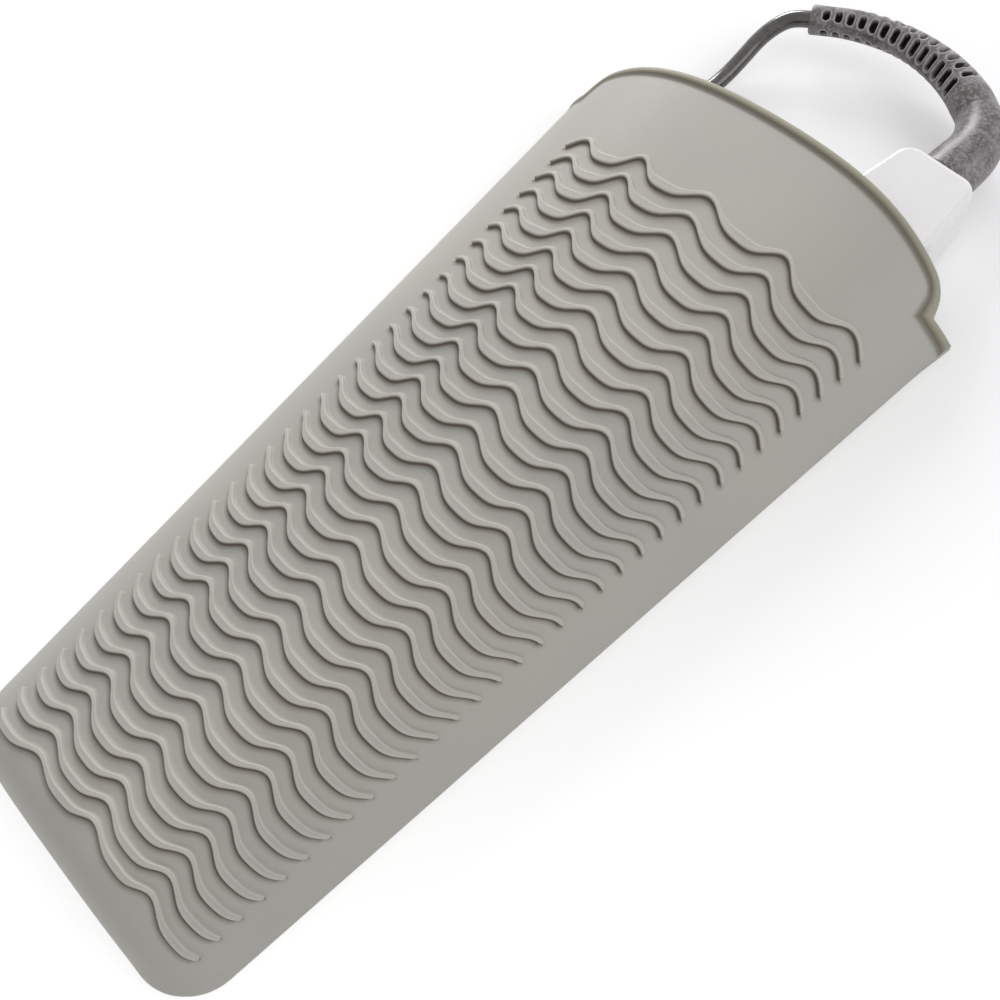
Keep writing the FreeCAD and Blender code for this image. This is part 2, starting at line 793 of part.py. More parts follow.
def checked_tube(name, points, radius):
    tube, length, radii = wire_path(points, radius)
    share = tube.Volume / (math.pi * radius ** 2 * length)
    print(f"{name}: {length:.1f} mm long, smallest radius {min(radii):.1f} mm, volume share {share:.4f}")
    return tube


def arm_spring():
    # coil between the bracket's web and the moving knuckle's tang
    start = -bracket_inner_u + spring_seat_gap + spring_wire_radius
    end = bracket_outer_u - cheek_thickness - spring_seat_gap - spring_wire_radius
    helix = Part.makeHelix((end - start) / spring_turns, end - start, spring_radius)
    ring = Part.Wire(Part.makeCircle(spring_wire_radius, Vector(spring_radius, 0, 0), Vector(0, 1, 0)))
    coil = Part.Wire(helix).makePipeShell([ring], True, True)
    coil.rotate(Vector(0, 0, 0), Vector(0, 1, 0), 90)
    coil.translate(Vector(start, spring_v, tool_middle))
    return coil


def thin_leads(routes):
    return Part.makeCompound([wire_path(points, lead_radius)[0] for points in routes])


def thermal_fuse():
    low_v = plate_end_v() + carrier_end_margin + fuse_setback
    z = inside_bottom + fuse_radius + fuse_rest_gap
    return along(fuse_radius, (button_u, low_v, z), (button_u, low_v + fuse_length, z))


# Cord guard

def guard_runs():
    # length and radius of each stretch of the guard's axis, straight where there is no radius
    elbow = guard_elbow_radius * math.radians(guard_elbow_deg)
    curve = guard_curve_radius * math.radians(guard_curve_deg)
    return ((guard_straight, None), (elbow, guard_elbow_radius), (curve, guard_curve_radius),
            (guard_tip_straight, None))


def guard_length():
    return sum(run for run, _ in guard_runs())


def guard_place(travel):
    # centre and direction of the guard's axis at a distance from the tail's end face
    u, v, heading, left = 0.0, tool_length, math.pi / 2, travel
    for run, radius in guard_runs():
        step = min(left, run)
        if radius is None:
            u, v = u + step * math.cos(heading), v + step * math.sin(heading)
        else:
            turned = heading + step / radius
            u += radius * (math.sin(turned) - math.sin(heading))
            v -= radius * (math.cos(turned) - math.cos(heading))
            heading = turned
        left -= step
    return Vector(u, v, tool_middle), Vector(math.cos(heading), math.sin(heading), 0)


def guard_sections():
    # distance along the axis and radius: a smooth swollen root, then ribs with slots between them
    smooth = guard_length() * guard_smooth_share
    sections = []
    for k in range(guard_smooth_steps + 1):
        swell = 1 - min(k / guard_swell_steps, 1.0) ** 2
        sections.append((smooth * k / guard_smooth_steps,
                         guard_root_radius + (guard_base_radius - guard_root_radius) * swell))
    ribbed = guard_length() - guard_tip_straight - smooth
    pitch = ribbed / guard_rib_count
    for rib in range(guard_rib_count):
        for share, is_crest in guard_rib_shares:
            at = smooth + (rib + share) * pitch
            radius = guard_root_radius + (guard_tip_radius - guard_root_radius) * (at - smooth) / ribbed
            sections.append((at, radius if is_crest else radius - guard_rib_height))
    sections.append((guard_length() - guard_tip_straight, guard_tip_radius))
    sections.append((guard_length(), guard_tip_radius - guard_tip_lip))
    return sections


def cord_guard():
    rings = []
    for travel, radius in guard_sections():
        centre, heading = guard_place(travel)
        circle = Part.Circle(centre, heading, radius)
        circle.XAxis = VERTICAL
        rings.append(Part.Wire(circle.toShape()))
    sleeve = Part.makeLoft(rings, True, True)
    wall_v = tool_length - housing_wall
    neck = along(guard_neck_radius, (0, wall_v, tool_middle), (0, tool_length + overrun, tool_middle))
    flange = along(guard_flange_radius, (0, wall_v - guard_flange_thickness, tool_middle),
                   (0, wall_v, tool_middle))
    return sleeve.fuse([neck, flange])


# Cord

def s_bend(start, end, heading):
    # two equal arcs that leave and arrive along one heading
    run = (end - start).dot(heading)
    shift = (end - start) - heading * run
    side = shift.Length
    radius = (run ** 2 + side ** 2) / (4 * side)
    half_turn = math.atan2(side, run)
    across = shift * (1 / side)

    def on_arc(centre, outward, angle, sign):
        return centre + outward * (radius * math.cos(angle)) + heading * (sign * radius * math.sin(angle))

    first_centre, last_centre = start + across * radius, end - across * radius
    middle = (start + end) * 0.5
    return [arc(start, on_arc(first_centre, across * -1, half_turn, 1), middle),
            arc(middle, on_arc(last_centre, across, half_turn, -1), end)]


def hank_folds():
    per_layer = 2 * hank_turns_per_layer
    inward = [hank_fold_radius + hank_pitch / 2 * k for k in reversed(range(per_layer))]
    return inward + inward[::-1]


def hank_start_u():
    return hank_centre_u - hank_folds()[0]


def hank_path():
    folds = hank_folds()
    middle_v = (hank_lower_v + hank_upper_v) / 2
    u, z, edges = hank_start_u(), hank_first_z, []
    for k in range(len(folds) + 1):
        side, heading = (1, -1) if k % 2 == 0 else (-1, 1)
        start_v, end_v = (hank_upper_v, hank_lower_v) if heading < 0 else (hank_lower_v, hank_upper_v)
        climb = hank_layer_step if k == len(folds) // 2 else 0.0
        ahead = Vector(0, heading, 0)
        waist = Vector(u + side * hank_waist_draw, middle_v, z + climb / 2)
        edges += s_bend(Vector(u, start_v, z), waist, ahead)
        z += climb
        edges += s_bend(waist, Vector(u, end_v, z), ahead)
        if k == len(folds):
            break
        radius = folds[k]
        centre = Vector(u + side * radius, end_v, z)
        bulge = 1 / math.sqrt(2)
        points = [centre + Vector(side * radius * a, heading * radius * b, 0) for a, b in
                  ((-1, 0), (-bulge, bulge), (0, 1), (bulge, bulge), (1, 0))]
        edges += [arc(*points[0:3]), arc(*points[2:5])]
        u += 2 * side * radius
    return Part.Wire(edges), Vector(u, hank_lower_v, z)


def least_gap(path, step, near):
    # smallest distance between parts of a tube's centre line that aren't neighbours along it
    count = int(path.Length / step)
    points = path.discretize(Number=count)
    skip = int(near / step)
    cells = {}
    for index, p in enumerate(points):
        cells.setdefault((int(p.x // near), int(p.y // near), int(p.z // near)), []).append((index, p))
    least = near
    for (i, j, k), members in cells.items():
        around = [m for a in (-1, 0, 1) for b in (-1, 0, 1) for c in (-1, 0, 1)
                  for m in cells.get((i + a, j + b, k + c), [])]
        for index, p in members:
            for other, q in around:
                if other - index > skip:
                    least = min(least, p.distanceToPoint(q))
    return least


def cord_hank():
    path, _ = hank_path()
    start = path.OrderedVertexes[0].Point
    ring = Part.Wire(Part.makeCircle(cord_radius, start, Vector(0, -1, 0)))
    tube = path.makePipeShell([ring], True, False)
    gap = least_gap(path, 1.0, 2 * cord_diameter) - cord_diameter
    print(f"hank: {path.Length:.1f} mm long, least gap to itself {gap:.2f} mm, "
          f"volume share {tube.Volume / (math.pi * cord_radius ** 2 * path.Length):.4f}")
    return tube


def hank_tie():
    folds = hank_folds()
    middle_v = (hank_lower_v + hank_upper_v) / 2
    reach = folds[0] - hank_waist_draw + cord_radius + 2 * hank_clearance
    low = hank_first_z - cord_radius - hank_clearance
    high = hank_first_z + hank_layer_step + cord_radius + hank_clearance
    centre = hank_centre_u
    v0, v1 = middle_v - tie_width / 2, middle_v + tie_width / 2
    lengthwise = lambda e: e.BoundBox.YLength > tie_width - 1
    hole = box(centre - reach, centre + reach, v0, v1, low, high)
    hole = rounded(hole, cord_radius / 2, lengthwise)
    t = tie_thickness
    band = box(centre - reach - t, centre + reach + t, v0, v1, low - t, high + t)
    return rounded(band, cord_radius / 2 + t, lengthwise).cut(hole)


def cord_lead_points():
    # from the guard's tip round to the mouth and onto the hank's first run, chosen by hand
    tip, heading = guard_place(guard_length())
    first_turn = tip + heading * lead_exit_run
    hank_start = point_in_sleeve(hank_start_u(), hank_upper_v, hank_first_z)
    return ([point_in_sleeve(*tip), point_in_sleeve(*first_turn)] + [Vector(*p) for p in lead_route]
            + [hank_start])


def cord_tail_points():
    # from the hank's last run down to the plug, chosen by hand in the tool's frame
    _, end = hank_path()
    plug_z = tool_bottom + plug_body_height / 2
    return [end] + [Vector(*p) for p in tail_route] + [Vector(plug_u, plug_entry_v, plug_z)]


def plug_body():
    half_width_u, z0 = plug_body_width / 2, tool_bottom
    end_v = plug_entry_v - plug_relief_length
    body = box(plug_u - half_width_u, plug_u + half_width_u, end_v - plug_body_length, end_v,
               z0, z0 + plug_body_height)
    body = body.makeFillet(plug_corner_radius, body.Edges)
    middle = z0 + plug_body_height / 2
    relief = Part.makeCone(plug_relief_radius, cord_radius + plug_relief_lip, plug_relief_length,
                           Vector(plug_u, end_v, middle), Vector(0, 1, 0))
    return body.fuse(relief)


def plug_pins():
    start_v = plug_entry_v - plug_relief_length - plug_body_length
    middle = tool_bottom + plug_body_height / 2
    pins = []
    for side in (-1, 1):
        u = plug_u + side * plug_pin_spacing / 2
        pin = box(u - plug_pin_thickness / 2, u + plug_pin_thickness / 2, start_v - plug_pin_length, start_v,
                  middle - plug_pin_width / 2, middle + plug_pin_width / 2)
        pins.append(pin)
    return Part.makeCompound(pins)


# The whole object

def tool_parts():
    screws = tail_screws()
    housing = fuse([tail_housing()] + tail_posts()).cut(screws)
    parts = {
        "fixed_arm_shell": fixed_arm_shell(),
        "fixed_tip_cap": tip_cap(),
        "fixed_inner_cover": inner_cover(),
        "fixed_plate_carrier": plate_carrier(0.0),
        "fixed_crimp_plate": crimp_plate(1),
        "fixed_heater": heater(),
        "moving_arm_shell": mirrored(arm_shell()),
        "moving_tip_cap": mirrored(tip_cap()),
        "moving_inner_cover": mirrored(inner_cover()),
        "moving_plate_carrier": mirrored(plate_carrier(plate_travel + plate_back_gap)),
        "moving_crimp_plate": crimp_plate(-1),
        "moving_heater": mirrored(heater()),
        "moving_knuckle": moving_knuckle(),
        "hinge_bracket": hinge_bracket(),
        "hinge_pin": hinge_pin(),
        "hinge_washers": hinge_washers(),
        "arm_spring": arm_spring(),
        "tail_housing": housing,
        "tail_cover": tail_cover().cut(screws),
        "tail_screws": screws,
        "cord_clamp": cord_clamp(),
        "circuit_board": circuit_board(),
        "board_screws": board_screws(),
        "tact_switches": tact_switches(),
        "display_lens": lens(),
        "thermal_fuse": thermal_fuse(),
        "mains_leads": thin_leads(mains_lead_routes),
        "heater_leads": thin_leads(heater_lead_routes),
        "cord_guard": cord_guard(),
        "cord_hank": cord_hank(),
        "cord_tail": checked_tube("cord tail", cord_tail_points(), cord_radius),
        "hank_tie": hank_tie(),
        "plug_body": plug_body(),
        "plug_pins": plug_pins(),
    }
    for name, v, radius in controls():
        parts[name] = button(v, radius)
    return {name: in_sleeve(shape) for name, shape in parts.items()}


def whole_object():
    parts = sleeve_sheets()
    parts["sleeve_ridges"] = sleeve_ridges()
    parts.update(tool_parts())
    parts["cord_lead"] = checked_tube("cord lead", cord_lead_points(), cord_radius)
    return parts


def main():
    parts = whole_object()
    middle = Part.makeCompound([parts[name] for name in OUTERMOST_NODES]).optimalBoundingBox().Center
    origin = Vector(middle.x, middle.y, 0)
    os.makedirs("parts", exist_ok=True)
    for name, shape in parts.items():
        shape.translate(origin * -1)
        shape.exportStep(f"parts/{name}.step")
        if not shape.isValid():
            print(f"{name} is not valid")
    pivot = point_in_sleeve(0, pivot_v, tool_middle) - origin
    print(f"origin at sleeve x {origin.x:.3f}, y {origin.y:.3f}")
    print(f"hinge at {pivot.x:.3f}, {pivot.y:.3f}, {pivot.z:.3f}")
    for name, v, _ in controls():
        place = point_in_sleeve(button_u, v, tool_top) - origin
        print(f"{name} at {place.x:.3f}, {place.y:.3f}, {place.z:.3f}")
    print(f"slide axis {math.sin(TILT):.6f}, {math.cos(TILT):.6f}, 0")


main()
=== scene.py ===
import bpy
import json
import math
import numpy as np
from mathutils import Matrix, Vector


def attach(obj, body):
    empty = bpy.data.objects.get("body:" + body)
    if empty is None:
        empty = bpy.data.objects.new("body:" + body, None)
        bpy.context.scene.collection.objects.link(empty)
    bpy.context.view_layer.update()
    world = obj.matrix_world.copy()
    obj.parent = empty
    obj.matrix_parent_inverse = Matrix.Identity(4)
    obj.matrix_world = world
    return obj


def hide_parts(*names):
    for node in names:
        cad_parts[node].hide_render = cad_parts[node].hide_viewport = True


# A millimetre in metres, and where the frame's origin lies along the sleeve
MM = 0.001
ORIGIN_Y = 161.265

# Camera: place in metres, axes, and lens and sensor in millimetres
CAMERA_AT = (0.142520, -0.062229, 0.298910)
CAMERA_RIGHT = (0.68950836, 0.70632126, -0.16027628)
CAMERA_UP = (-0.6060663, 0.68383053, 0.40627508)
CAMERA_BACK = (0.39656255, -0.18299201, 0.89958439)
CAMERA_LENS = 39.692
CAMERA_SENSOR = 36.0
CAMERA_NEAR = 0.01

# Sleeve plan and section, as in part.py
CLOSED_HALF = 54.5
EAR_HALF = 76.6
EAR_Y = 282.0
CORNER_RADIUS = 18.0
EAR_TIP_RISE = 2.0
EAR_FLARE_LENGTH = 11.0
EAR_FLARE = 1.0
SHOULDER_X = 70.0
SHOULDER_RADIUS = 9.0
RIM_APEX = 299.0
RIM_RADIUS = 260.0
BACK_APEX = 291.0
BACK_RIM_RADIUS = 600.0
BACK_SHOULDER_RADIUS = 5.0
BACK_THICKNESS = 2.2
SEAM_HEIGHT = 4.0
CLOSED_CROWN = 28.0
EAR_CROWN = 32.0
CROWN_POWER = 4.0
CLOSED_RISE = 25.0
CLOSED_RISE_POWER = 4.0
FRONT_THICKNESS = 2.3
SEAM_BAND = 3.0
INNER_POWER = 4.6
EAR_TIP_SLOPE = 1.3
NOTCH_SLOPE = 1.2
NOTCH_LEAST = 0.01

# Sleeve ridges, as in part.py
ROWS = 33
RIDGE_THIN = 1.5
CREST_SHARPENING = 0.2
RIDGE_MIDDLE_X = 8.0
RIDGE_REACH_X = 55.0
RIDGE_Y_TERMS = (254.5, -260.4, 34.9, -9.6)
RIDGE_SIDE_SWING = 0.6
DRIFT_ROWS = 4
DRIFT_Y = -4.3
# Each of these has the values of the first, middle and last row, and what the last few rows add
RIDGE_LEFT = (-49.8, -42.0, -38.0, 0.0)
RIDGE_RIGHT = (65.0, 56.4, 49.6, 0.0)
RIDGE_SWELL = (1.8, 1.3, 0.8, 0.0)
RIDGE_TILT = (0.3, -0.2, -2.4, 0.2)
RIDGE_BOW = (5.3, -1.5, -4.0, 8.1)
RIDGE_SKEW = (2.8, 0.6, -4.0, 0.8)
RIDGE_SWING = (3.1, 2.5, 2.3, -0.7)
RIDGE_TURNS = ((-58.0, -54.5, -52.0, 0.0), (-44.3, -42.2, -42.0, 0.0), (-33.0, -29.2, -32.2, 2.1),
               (-23.7, -20.1, -18.9, 2.8), (-12.4, -9.3, -5.7, 3.7), (1.9, 3.6, 7.3, 1.9),
               (18.8, 18.0, 21.2, 1.5), (32.1, 31.8, 33.1, 0.1), (45.3, 44.1, 44.8, -0.9),
               (58.9, 55.8, 54.8, -2.1), (74.6, 64.8, 66.3, 0.0))

# Tool frame in the sleeve's frame
TILT = math.radians(3.5)
TIP_X, TIP_Y = 24.0, 22.6
TOOL_MIDDLE = 12.5


def place(points):
    """Sleeve-frame millimetres to row-frame metres."""
    return (np.asarray(points, float) - (0.0, ORIGIN_Y, 0.0)) * MM


def from_tool(u, v, z):
    """A point of the tool's own frame in the sleeve's frame."""
    return (TIP_X + u * math.cos(TILT) + v * math.sin(TILT),
            TIP_Y - u * math.sin(TILT) + v * math.cos(TILT), z)


def smooth(share):
    share = np.clip(share, 0.0, 1.0)
    return share * share * (3 - 2 * share)


def rising(value, start, stop):
    """A smooth share that starts at one value and is whole at another."""
    return smooth((value - start) / (stop - start))


def blend(first, last, share):
    return first + (last - first) * share


# Mesh pieces

def add_object(name, data):
    made = bpy.data.objects.new(name, data)
    bpy.context.scene.collection.objects.link(made)
    return made


def mesh_piece(name, points, faces, body, slot, marks=None, known_normals=None):
    """A smooth-shaded mesh that rides on a body, with its slot's material.

    Marks are values at the points, which the material reads. Known normals are rows of normals, with
    rows of zeros where Blender's own are kept."""
    mesh = bpy.data.meshes.new(name)
    mesh.from_pydata([tuple(p) for p in place(points)], [], faces)
    mesh.polygons.foreach_set("use_smooth", [True] * len(mesh.polygons))
    for mark, values in (marks or {}).items():
        attribute = mesh.attributes.new(mark, "FLOAT", "POINT")
        attribute.data.foreach_set("value", np.asarray(values, np.float32))
    mesh.materials.append(MATERIALS[slot])
    mesh.validate()
    mesh.update()
    if known_normals is not None:
        own = np.zeros(len(mesh.vertices) * 3, np.float32)
        mesh.vertex_normals.foreach_get("vector", own)
        own = own.reshape(-1, 3)
        given = known_normals.any(axis=1)
        own[given] = known_normals[given]
        mesh.normals_split_custom_set_from_vertices(own.tolist())
    piece = add_object(name, mesh)
    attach(piece, body)
    return piece


def grid_faces(lines, columns, start=0, flip=False):
    faces = []
    for i in range(lines - 1):
        for j in range(columns - 1):
            a = start + i * columns + j
            quad = (a, a + 1, a + columns + 1, a + columns)
            faces.append(quad[::-1] if flip else quad)
    return faces


def ring_faces(rings, count):
    faces = []
    for i in range(rings - 1):
        for j in range(count):
            a, b = i * count + j, i * count + (j + 1) % count
            faces.append((a, b, b + count, a + count))
    return faces


# Material nodes

# The parts of a noise's range that its clouds and its grain use
CLOUD_SPAN = (0.35, 0.65)
GRAIN_SPAN = (0.3, 0.7)
THREADS_PER_METRE = 420.0
TRACKS_PER_METRE = 260.0
TRACK_GAP = 0.03


class Nodes:
    """A small helper round one material's node tree."""

    def __init__(self, name):
        self.material = bpy.data.materials.new(name)
        self.material.use_nodes = True
        self.tree = self.material.node_tree
        self.shader = self.tree.nodes["Principled BSDF"]
        self.place = self.node("ShaderNodeTexCoord").outputs["Object"]

    def node(self, kind, **settings):
        made = self.tree.nodes.new(kind)
        for key, value in settings.items():
            setattr(made, key, value)
        return made

    def link(self, source, target):
        self.tree.links.new(source, target)

    def put(self, target, value):
        if isinstance(value, bpy.types.NodeSocket):
            self.link(value, target)
        else:
            target.default_value = value

    def fill(self, made, **values):
        for key, value in values.items():
            self.put(made.inputs[key.replace("_", " ")], value)

    def noise(self, per_metre, detail, roughness=0.55, where=None):
        """Cloudy noise with about so many clouds in a metre."""
        made = self.node("ShaderNodeTexNoise")
        self.fill(made, Vector=where or self.place, Scale=per_metre, Detail=detail, Roughness=roughness)
        return made.outputs["Fac"]

    def stretched(self, scale):
        made = self.node("ShaderNodeMapping")
        self.fill(made, Vector=self.place, Scale=scale)
        return made.outputs["Vector"]

    def math(self, operation, first, second):
        made = self.node("ShaderNodeMath", operation=operation)
        self.put(made.inputs[0], first)
        self.put(made.inputs[1], second)
        return made.outputs[0]

    def span(self, value, given, wanted):
        """A value carried from one range to another and kept inside it."""
        made = self.node("ShaderNodeMapRange")
        self.fill(made, Value=value, From_Min=given[0], From_Max=given[1], To_Min=wanted[0], To_Max=wanted[1])
        return made.outputs["Result"]

    def mix(self, share, first, second):
        made = self.node("ShaderNodeMix", data_type="RGBA")
        self.put(made.inputs["Factor"], share)
        colours = [socket for socket in made.inputs if socket.type == "RGBA"]
        self.put(colours[0], first)
        self.put(colours[1], second)
        return [socket for socket in made.outputs if socket.type == "RGBA"][0]

    def mark(self, name):
        made = self.node("ShaderNodeAttribute", attribute_type="GEOMETRY", attribute_name=name)
        return made.outputs["Fac"]

    def tinge(self, colour, other, pattern, given, most=1.0):
        """A colour that turns towards another while a pattern rises through a range."""
        return self.mix(self.span(pattern, given, (0.0, most)), colour, other)

    def marked(self, colour, other, name, most):
        """A colour that turns towards another with a mark of the mesh."""
        return self.mix(self.math("MULTIPLY", self.mark(name), most), colour, other)

    def edge_highlight(self, width, most):
        """Painted highlight: high along convex edges, from how pointed the mesh is there."""
        pointed = self.node("ShaderNodeNewGeometry").outputs["Pointiness"]
        return self.math("MULTIPLY", self.span(pointed, (0.5, 0.5 + width), (0.0, 1.0)), most)

    def bump(self, height, strength, depth):
        """A bumped normal, with the depth in millimetres."""
        made = self.node("ShaderNodeBump")
        self.fill(made, Strength=strength, Distance=depth * MM, Height=height)
        return made.outputs["Normal"]

    def finish(self, colour, roughness, normal=None, **plain):
        self.fill(self.shader, Base_Color=colour, Roughness=roughness, **plain)
        if normal:
            self.fill(self.shader, Normal=normal)
        return self.material


def linear(red, green, blue):
    """A colour read as 0 to 255 from a picture, in the renderer's linear values."""
    values = []
    for level in (red, green, blue):
        share = level / 255
        values.append(share / 12.92 if share <= 0.04045 else ((share + 0.055) / 1.055) ** 2.4)
    return (*values, 1.0)


# Materials

def silicone():
    """Warm grey silicone: matte and faintly clouded, with a painted highlight on the ridges' edges and
    painted shade at their feet and beside the rim's bead.
    """
    n = Nodes("sleeve silicone")
    cloud = n.noise(14.0, detail=2.0)
    grain = n.noise(2600.0, detail=2.0)
    dust = n.noise(420.0, detail=4.0, roughness=0.7)
    colour = n.tinge(linear(184, 182, 175), linear(189, 186, 178), cloud, CLOUD_SPAN)
    colour = n.tinge(colour, linear(200, 197, 188), dust, (0.45, 0.8), most=0.2)
    # Painted highlight along the ridges' edges and crests
    colour = n.marked(colour, linear(220, 217, 208), "edge", most=0.5)
    colour = n.marked(colour, linear(160, 157, 136), "bead", most=0.85)
    # Painted shade at the ridges' feet and beside the rim's bead
    colour = n.marked(colour, linear(84, 72, 58), "foot_shade", most=0.9)
    rough = n.span(dust, (0.3, 0.8), (0.5, 0.66))
    height = n.math("ADD", n.math("MULTIPLY", grain, 0.5), dust)
    return n.finish(colour, rough, n.bump(height, strength=0.12, depth=0.1), Specular_IOR_Level=0.4)


def moulded(name, base, darker, roughness, coat=0.0, relief=0.06):
    """Moulded plastic: fine spark-eroded grain, slight mottling and a painted highlight along its convex
    edges.
    """
    n = Nodes(name)
    cloud = n.noise(30.0, detail=3.0)
    grain = n.noise(1800.0, detail=2.0)
    colour = n.tinge(base, darker, cloud, CLOUD_SPAN)
    paler = tuple(min(1.0, level * 1.12 + 0.01) for level in base[:3]) + (1.0,)
    # Painted highlight: paler along convex edges
    colour = n.mix(n.edge_highlight(width=0.08, most=0.5), colour, paler)
    rough = n.span(grain, GRAIN_SPAN, (roughness - 0.06, roughness + 0.06))
    return n.finish(colour, rough, n.bump(grain, relief, depth=0.06),
                    Specular_IOR_Level=0.5, Coat_Weight=coat)


def brushed_metal(name, base, roughness, stretch):
    """Metal with fine lines drawn along one direction and slight tarnish."""
    n = Nodes(name)
    lines = n.noise(900.0, detail=3.0, roughness=0.6, where=n.stretched(stretch))
    tarnish = n.noise(60.0, detail=4.0)
    darker = tuple(level * 0.72 for level in base[:3]) + (1.0,)
    colour = n.tinge(base, darker, tarnish, (0.4, 0.75), most=0.6)
    rough = n.span(lines, GRAIN_SPAN, (roughness - 0.08, roughness + 0.1))
    return n.finish(colour, rough, n.bump(lines, strength=0.08, depth=0.04), Metallic=1.0)


def guard_rubber():
    """Mottled grey rubber with pale streaks of painted sheen, a painted highlight round its slots' rims and
    painted shade inside them, where it is also dull.
    """
    n = Nodes("guard rubber")
    sheen_streaks = n.noise(900.0, detail=3.0, roughness=0.6)
    patches = n.noise(190.0, detail=4.0, roughness=0.6)
    grain = n.noise(1500.0, detail=2.0)
    colour = n.tinge(linear(84, 78, 76), linear(128, 122, 123), patches, (0.38, 0.62))
    # Pale streaks: painted sheen
    colour = n.tinge(colour, linear(182, 176, 181), sheen_streaks, (0.46, 0.7), most=0.6)
    # Painted highlight round the slots' rims
    colour = n.marked(colour, linear(210, 206, 209), "edge", most=0.55)
    # Painted shade inside the slots and the cord's hole
    colour = n.marked(colour, linear(16, 14, 12), "slot", most=1.0)
    rough = n.math("MAXIMUM", n.span(sheen_streaks, GRAIN_SPAN, (0.34, 0.5)), n.mark("slot"))
    height = n.math("ADD", n.math("MULTIPLY", grain, 0.4), sheen_streaks)
    return n.finish(colour, rough, n.bump(height, strength=0.2, depth=0.12), Specular_IOR_Level=0.5)


def cord_sheath():
    """Glossy dark grey cord sheath with faint scuffs."""
    n = Nodes("cord sheath")
    scuffs = n.noise(240.0, detail=4.0, roughness=0.65)
    grain = n.noise(2400.0, detail=2.0)
    colour = n.tinge(linear(58, 54, 51), linear(96, 91, 88), scuffs, (0.4, 0.7))
    rough = n.span(scuffs, GRAIN_SPAN, (0.13, 0.2))
    return n.finish(colour, rough, n.bump(grain, strength=0.05, depth=0.05), Specular_IOR_Level=0.6,
                    Coat_Weight=0.4, Coat_Roughness=0.1)


def tie_fabric():
    """Woven nylon tape: two crossed waves of threads, felted in places."""
    n = Nodes("tie fabric")
    threads = []
    for direction in ("X", "Y"):
        wave = n.node("ShaderNodeTexWave", bands_direction=direction)
        n.fill(wave, Vector=n.place, Scale=THREADS_PER_METRE)
        threads.append(wave.outputs["Fac"])
    weave = n.math("MULTIPLY", *threads)
    felt = n.noise(700.0, detail=4.0)
    colour = n.mix(weave, linear(38, 37, 38), linear(70, 68, 68))
    colour = n.tinge(colour, linear(92, 90, 90), felt, (0.5, 0.8), most=0.4)
    rough = n.span(felt, GRAIN_SPAN, (0.75, 0.95))
    return n.finish(colour, rough, n.bump(weave, strength=0.5, depth=0.2), Sheen_Weight=0.3)


def board_material():
    """Green solder mask over copper, with the grain of glass cloth."""
    n = Nodes("board")
    cloth = n.noise(1400.0, detail=2.0)
    tracks = n.node("ShaderNodeTexBrick")
    n.fill(tracks, Vector=n.place, Scale=TRACKS_PER_METRE, Mortar_Size=TRACK_GAP)
    colour = n.mix(tracks.outputs["Fac"], linear(24, 84, 52), linear(58, 120, 74))
    rough = n.span(cloth, GRAIN_SPAN, (0.3, 0.45))
    return n.finish(colour, rough, n.bump(cloth, strength=0.1, depth=0.04))


def ceramic():
    """Pale sintered ceramic with speckles."""
    n = Nodes("heater ceramic")
    speckle = n.noise(900.0, detail=5.0, roughness=0.8)
    colour = n.tinge(linear(226, 222, 210), linear(190, 184, 170), speckle, (0.5, 0.7))
    rough = n.span(speckle, GRAIN_SPAN, (0.6, 0.8))
    return n.finish(colour, rough, n.bump(speckle, strength=0.15, depth=0.05))


MATERIALS = {
    "sleeve_silicone": silicone(),
    "white_housing": moulded("white housing", linear(252, 251, 251), linear(248, 246, 247), 0.3, coat=0.3,
                             relief=0.015),
    "heat_plastic": moulded("heat plastic", linear(58, 56, 56), linear(46, 45, 45), 0.5),
    "plate_metal": brushed_metal("plate metal", linear(206, 188, 168), 0.3, (1.0, 0.06, 1.0)),
    "heater_ceramic": ceramic(),
    "steel": brushed_metal("steel", linear(196, 196, 198), 0.32, (1.0, 1.0, 0.1)),
    "button_plastic": moulded("button plastic", linear(70, 69, 70), linear(60, 59, 60), 0.42),
    "lens_plastic": moulded("lens plastic", linear(36, 38, 42), linear(28, 30, 34), 0.14, coat=0.5),
    "board": board_material(),
    "lead_sheath": moulded("lead sheath", linear(214, 212, 206), linear(198, 196, 190), 0.5),
    "guard_rubber": guard_rubber(),
    "cord_sheath": cord_sheath(),
    "plug_plastic": moulded("plug plastic", linear(64, 61, 60), linear(52, 50, 49), 0.45),
    "tie_fabric": tie_fabric(),
    "brass": brushed_metal("brass", linear(202, 170, 104), 0.28, (1.0, 0.1, 1.0)),
}


def dress_cad_nodes(frame):
    for part in frame["record"]["subparts"]:
        mesh = frame["nodes"][part["node"]].data
        mesh.materials.clear()
        mesh.materials.append(MATERIALS[part["material_slot"]])


# Sleeve surfaces

def half_width(y):
    return CLOSED_HALF + (EAR_HALF - CLOSED_HALF) * y / EAR_Y


def crown_half(y):
    """Half the crown's width, drawn in round the closed corners."""
    centre, radius = corner_arc(0.0)[:2]
    rise = np.clip(centre[1] - y, 0.0, radius)
    return np.where(y < centre[1], centre[0] + np.sqrt(radius ** 2 - rise ** 2), half_width(y))


def crown(x, y):
    """Height of the front sheet's outer face."""
    rise = 1 - (1 - np.clip(y / CLOSED_RISE, 0.0, 1.0)) ** CLOSED_RISE_POWER
    top = CLOSED_CROWN + (EAR_CROWN - CLOSED_CROWN) * y / EAR_Y - SEAM_HEIGHT
    arch = 1 - np.abs(x / crown_half(y)) ** CROWN_POWER
    return SEAM_HEIGHT + top * rise * np.where(y < CORNER_RADIUS, np.maximum(arch, 0.0), arch)


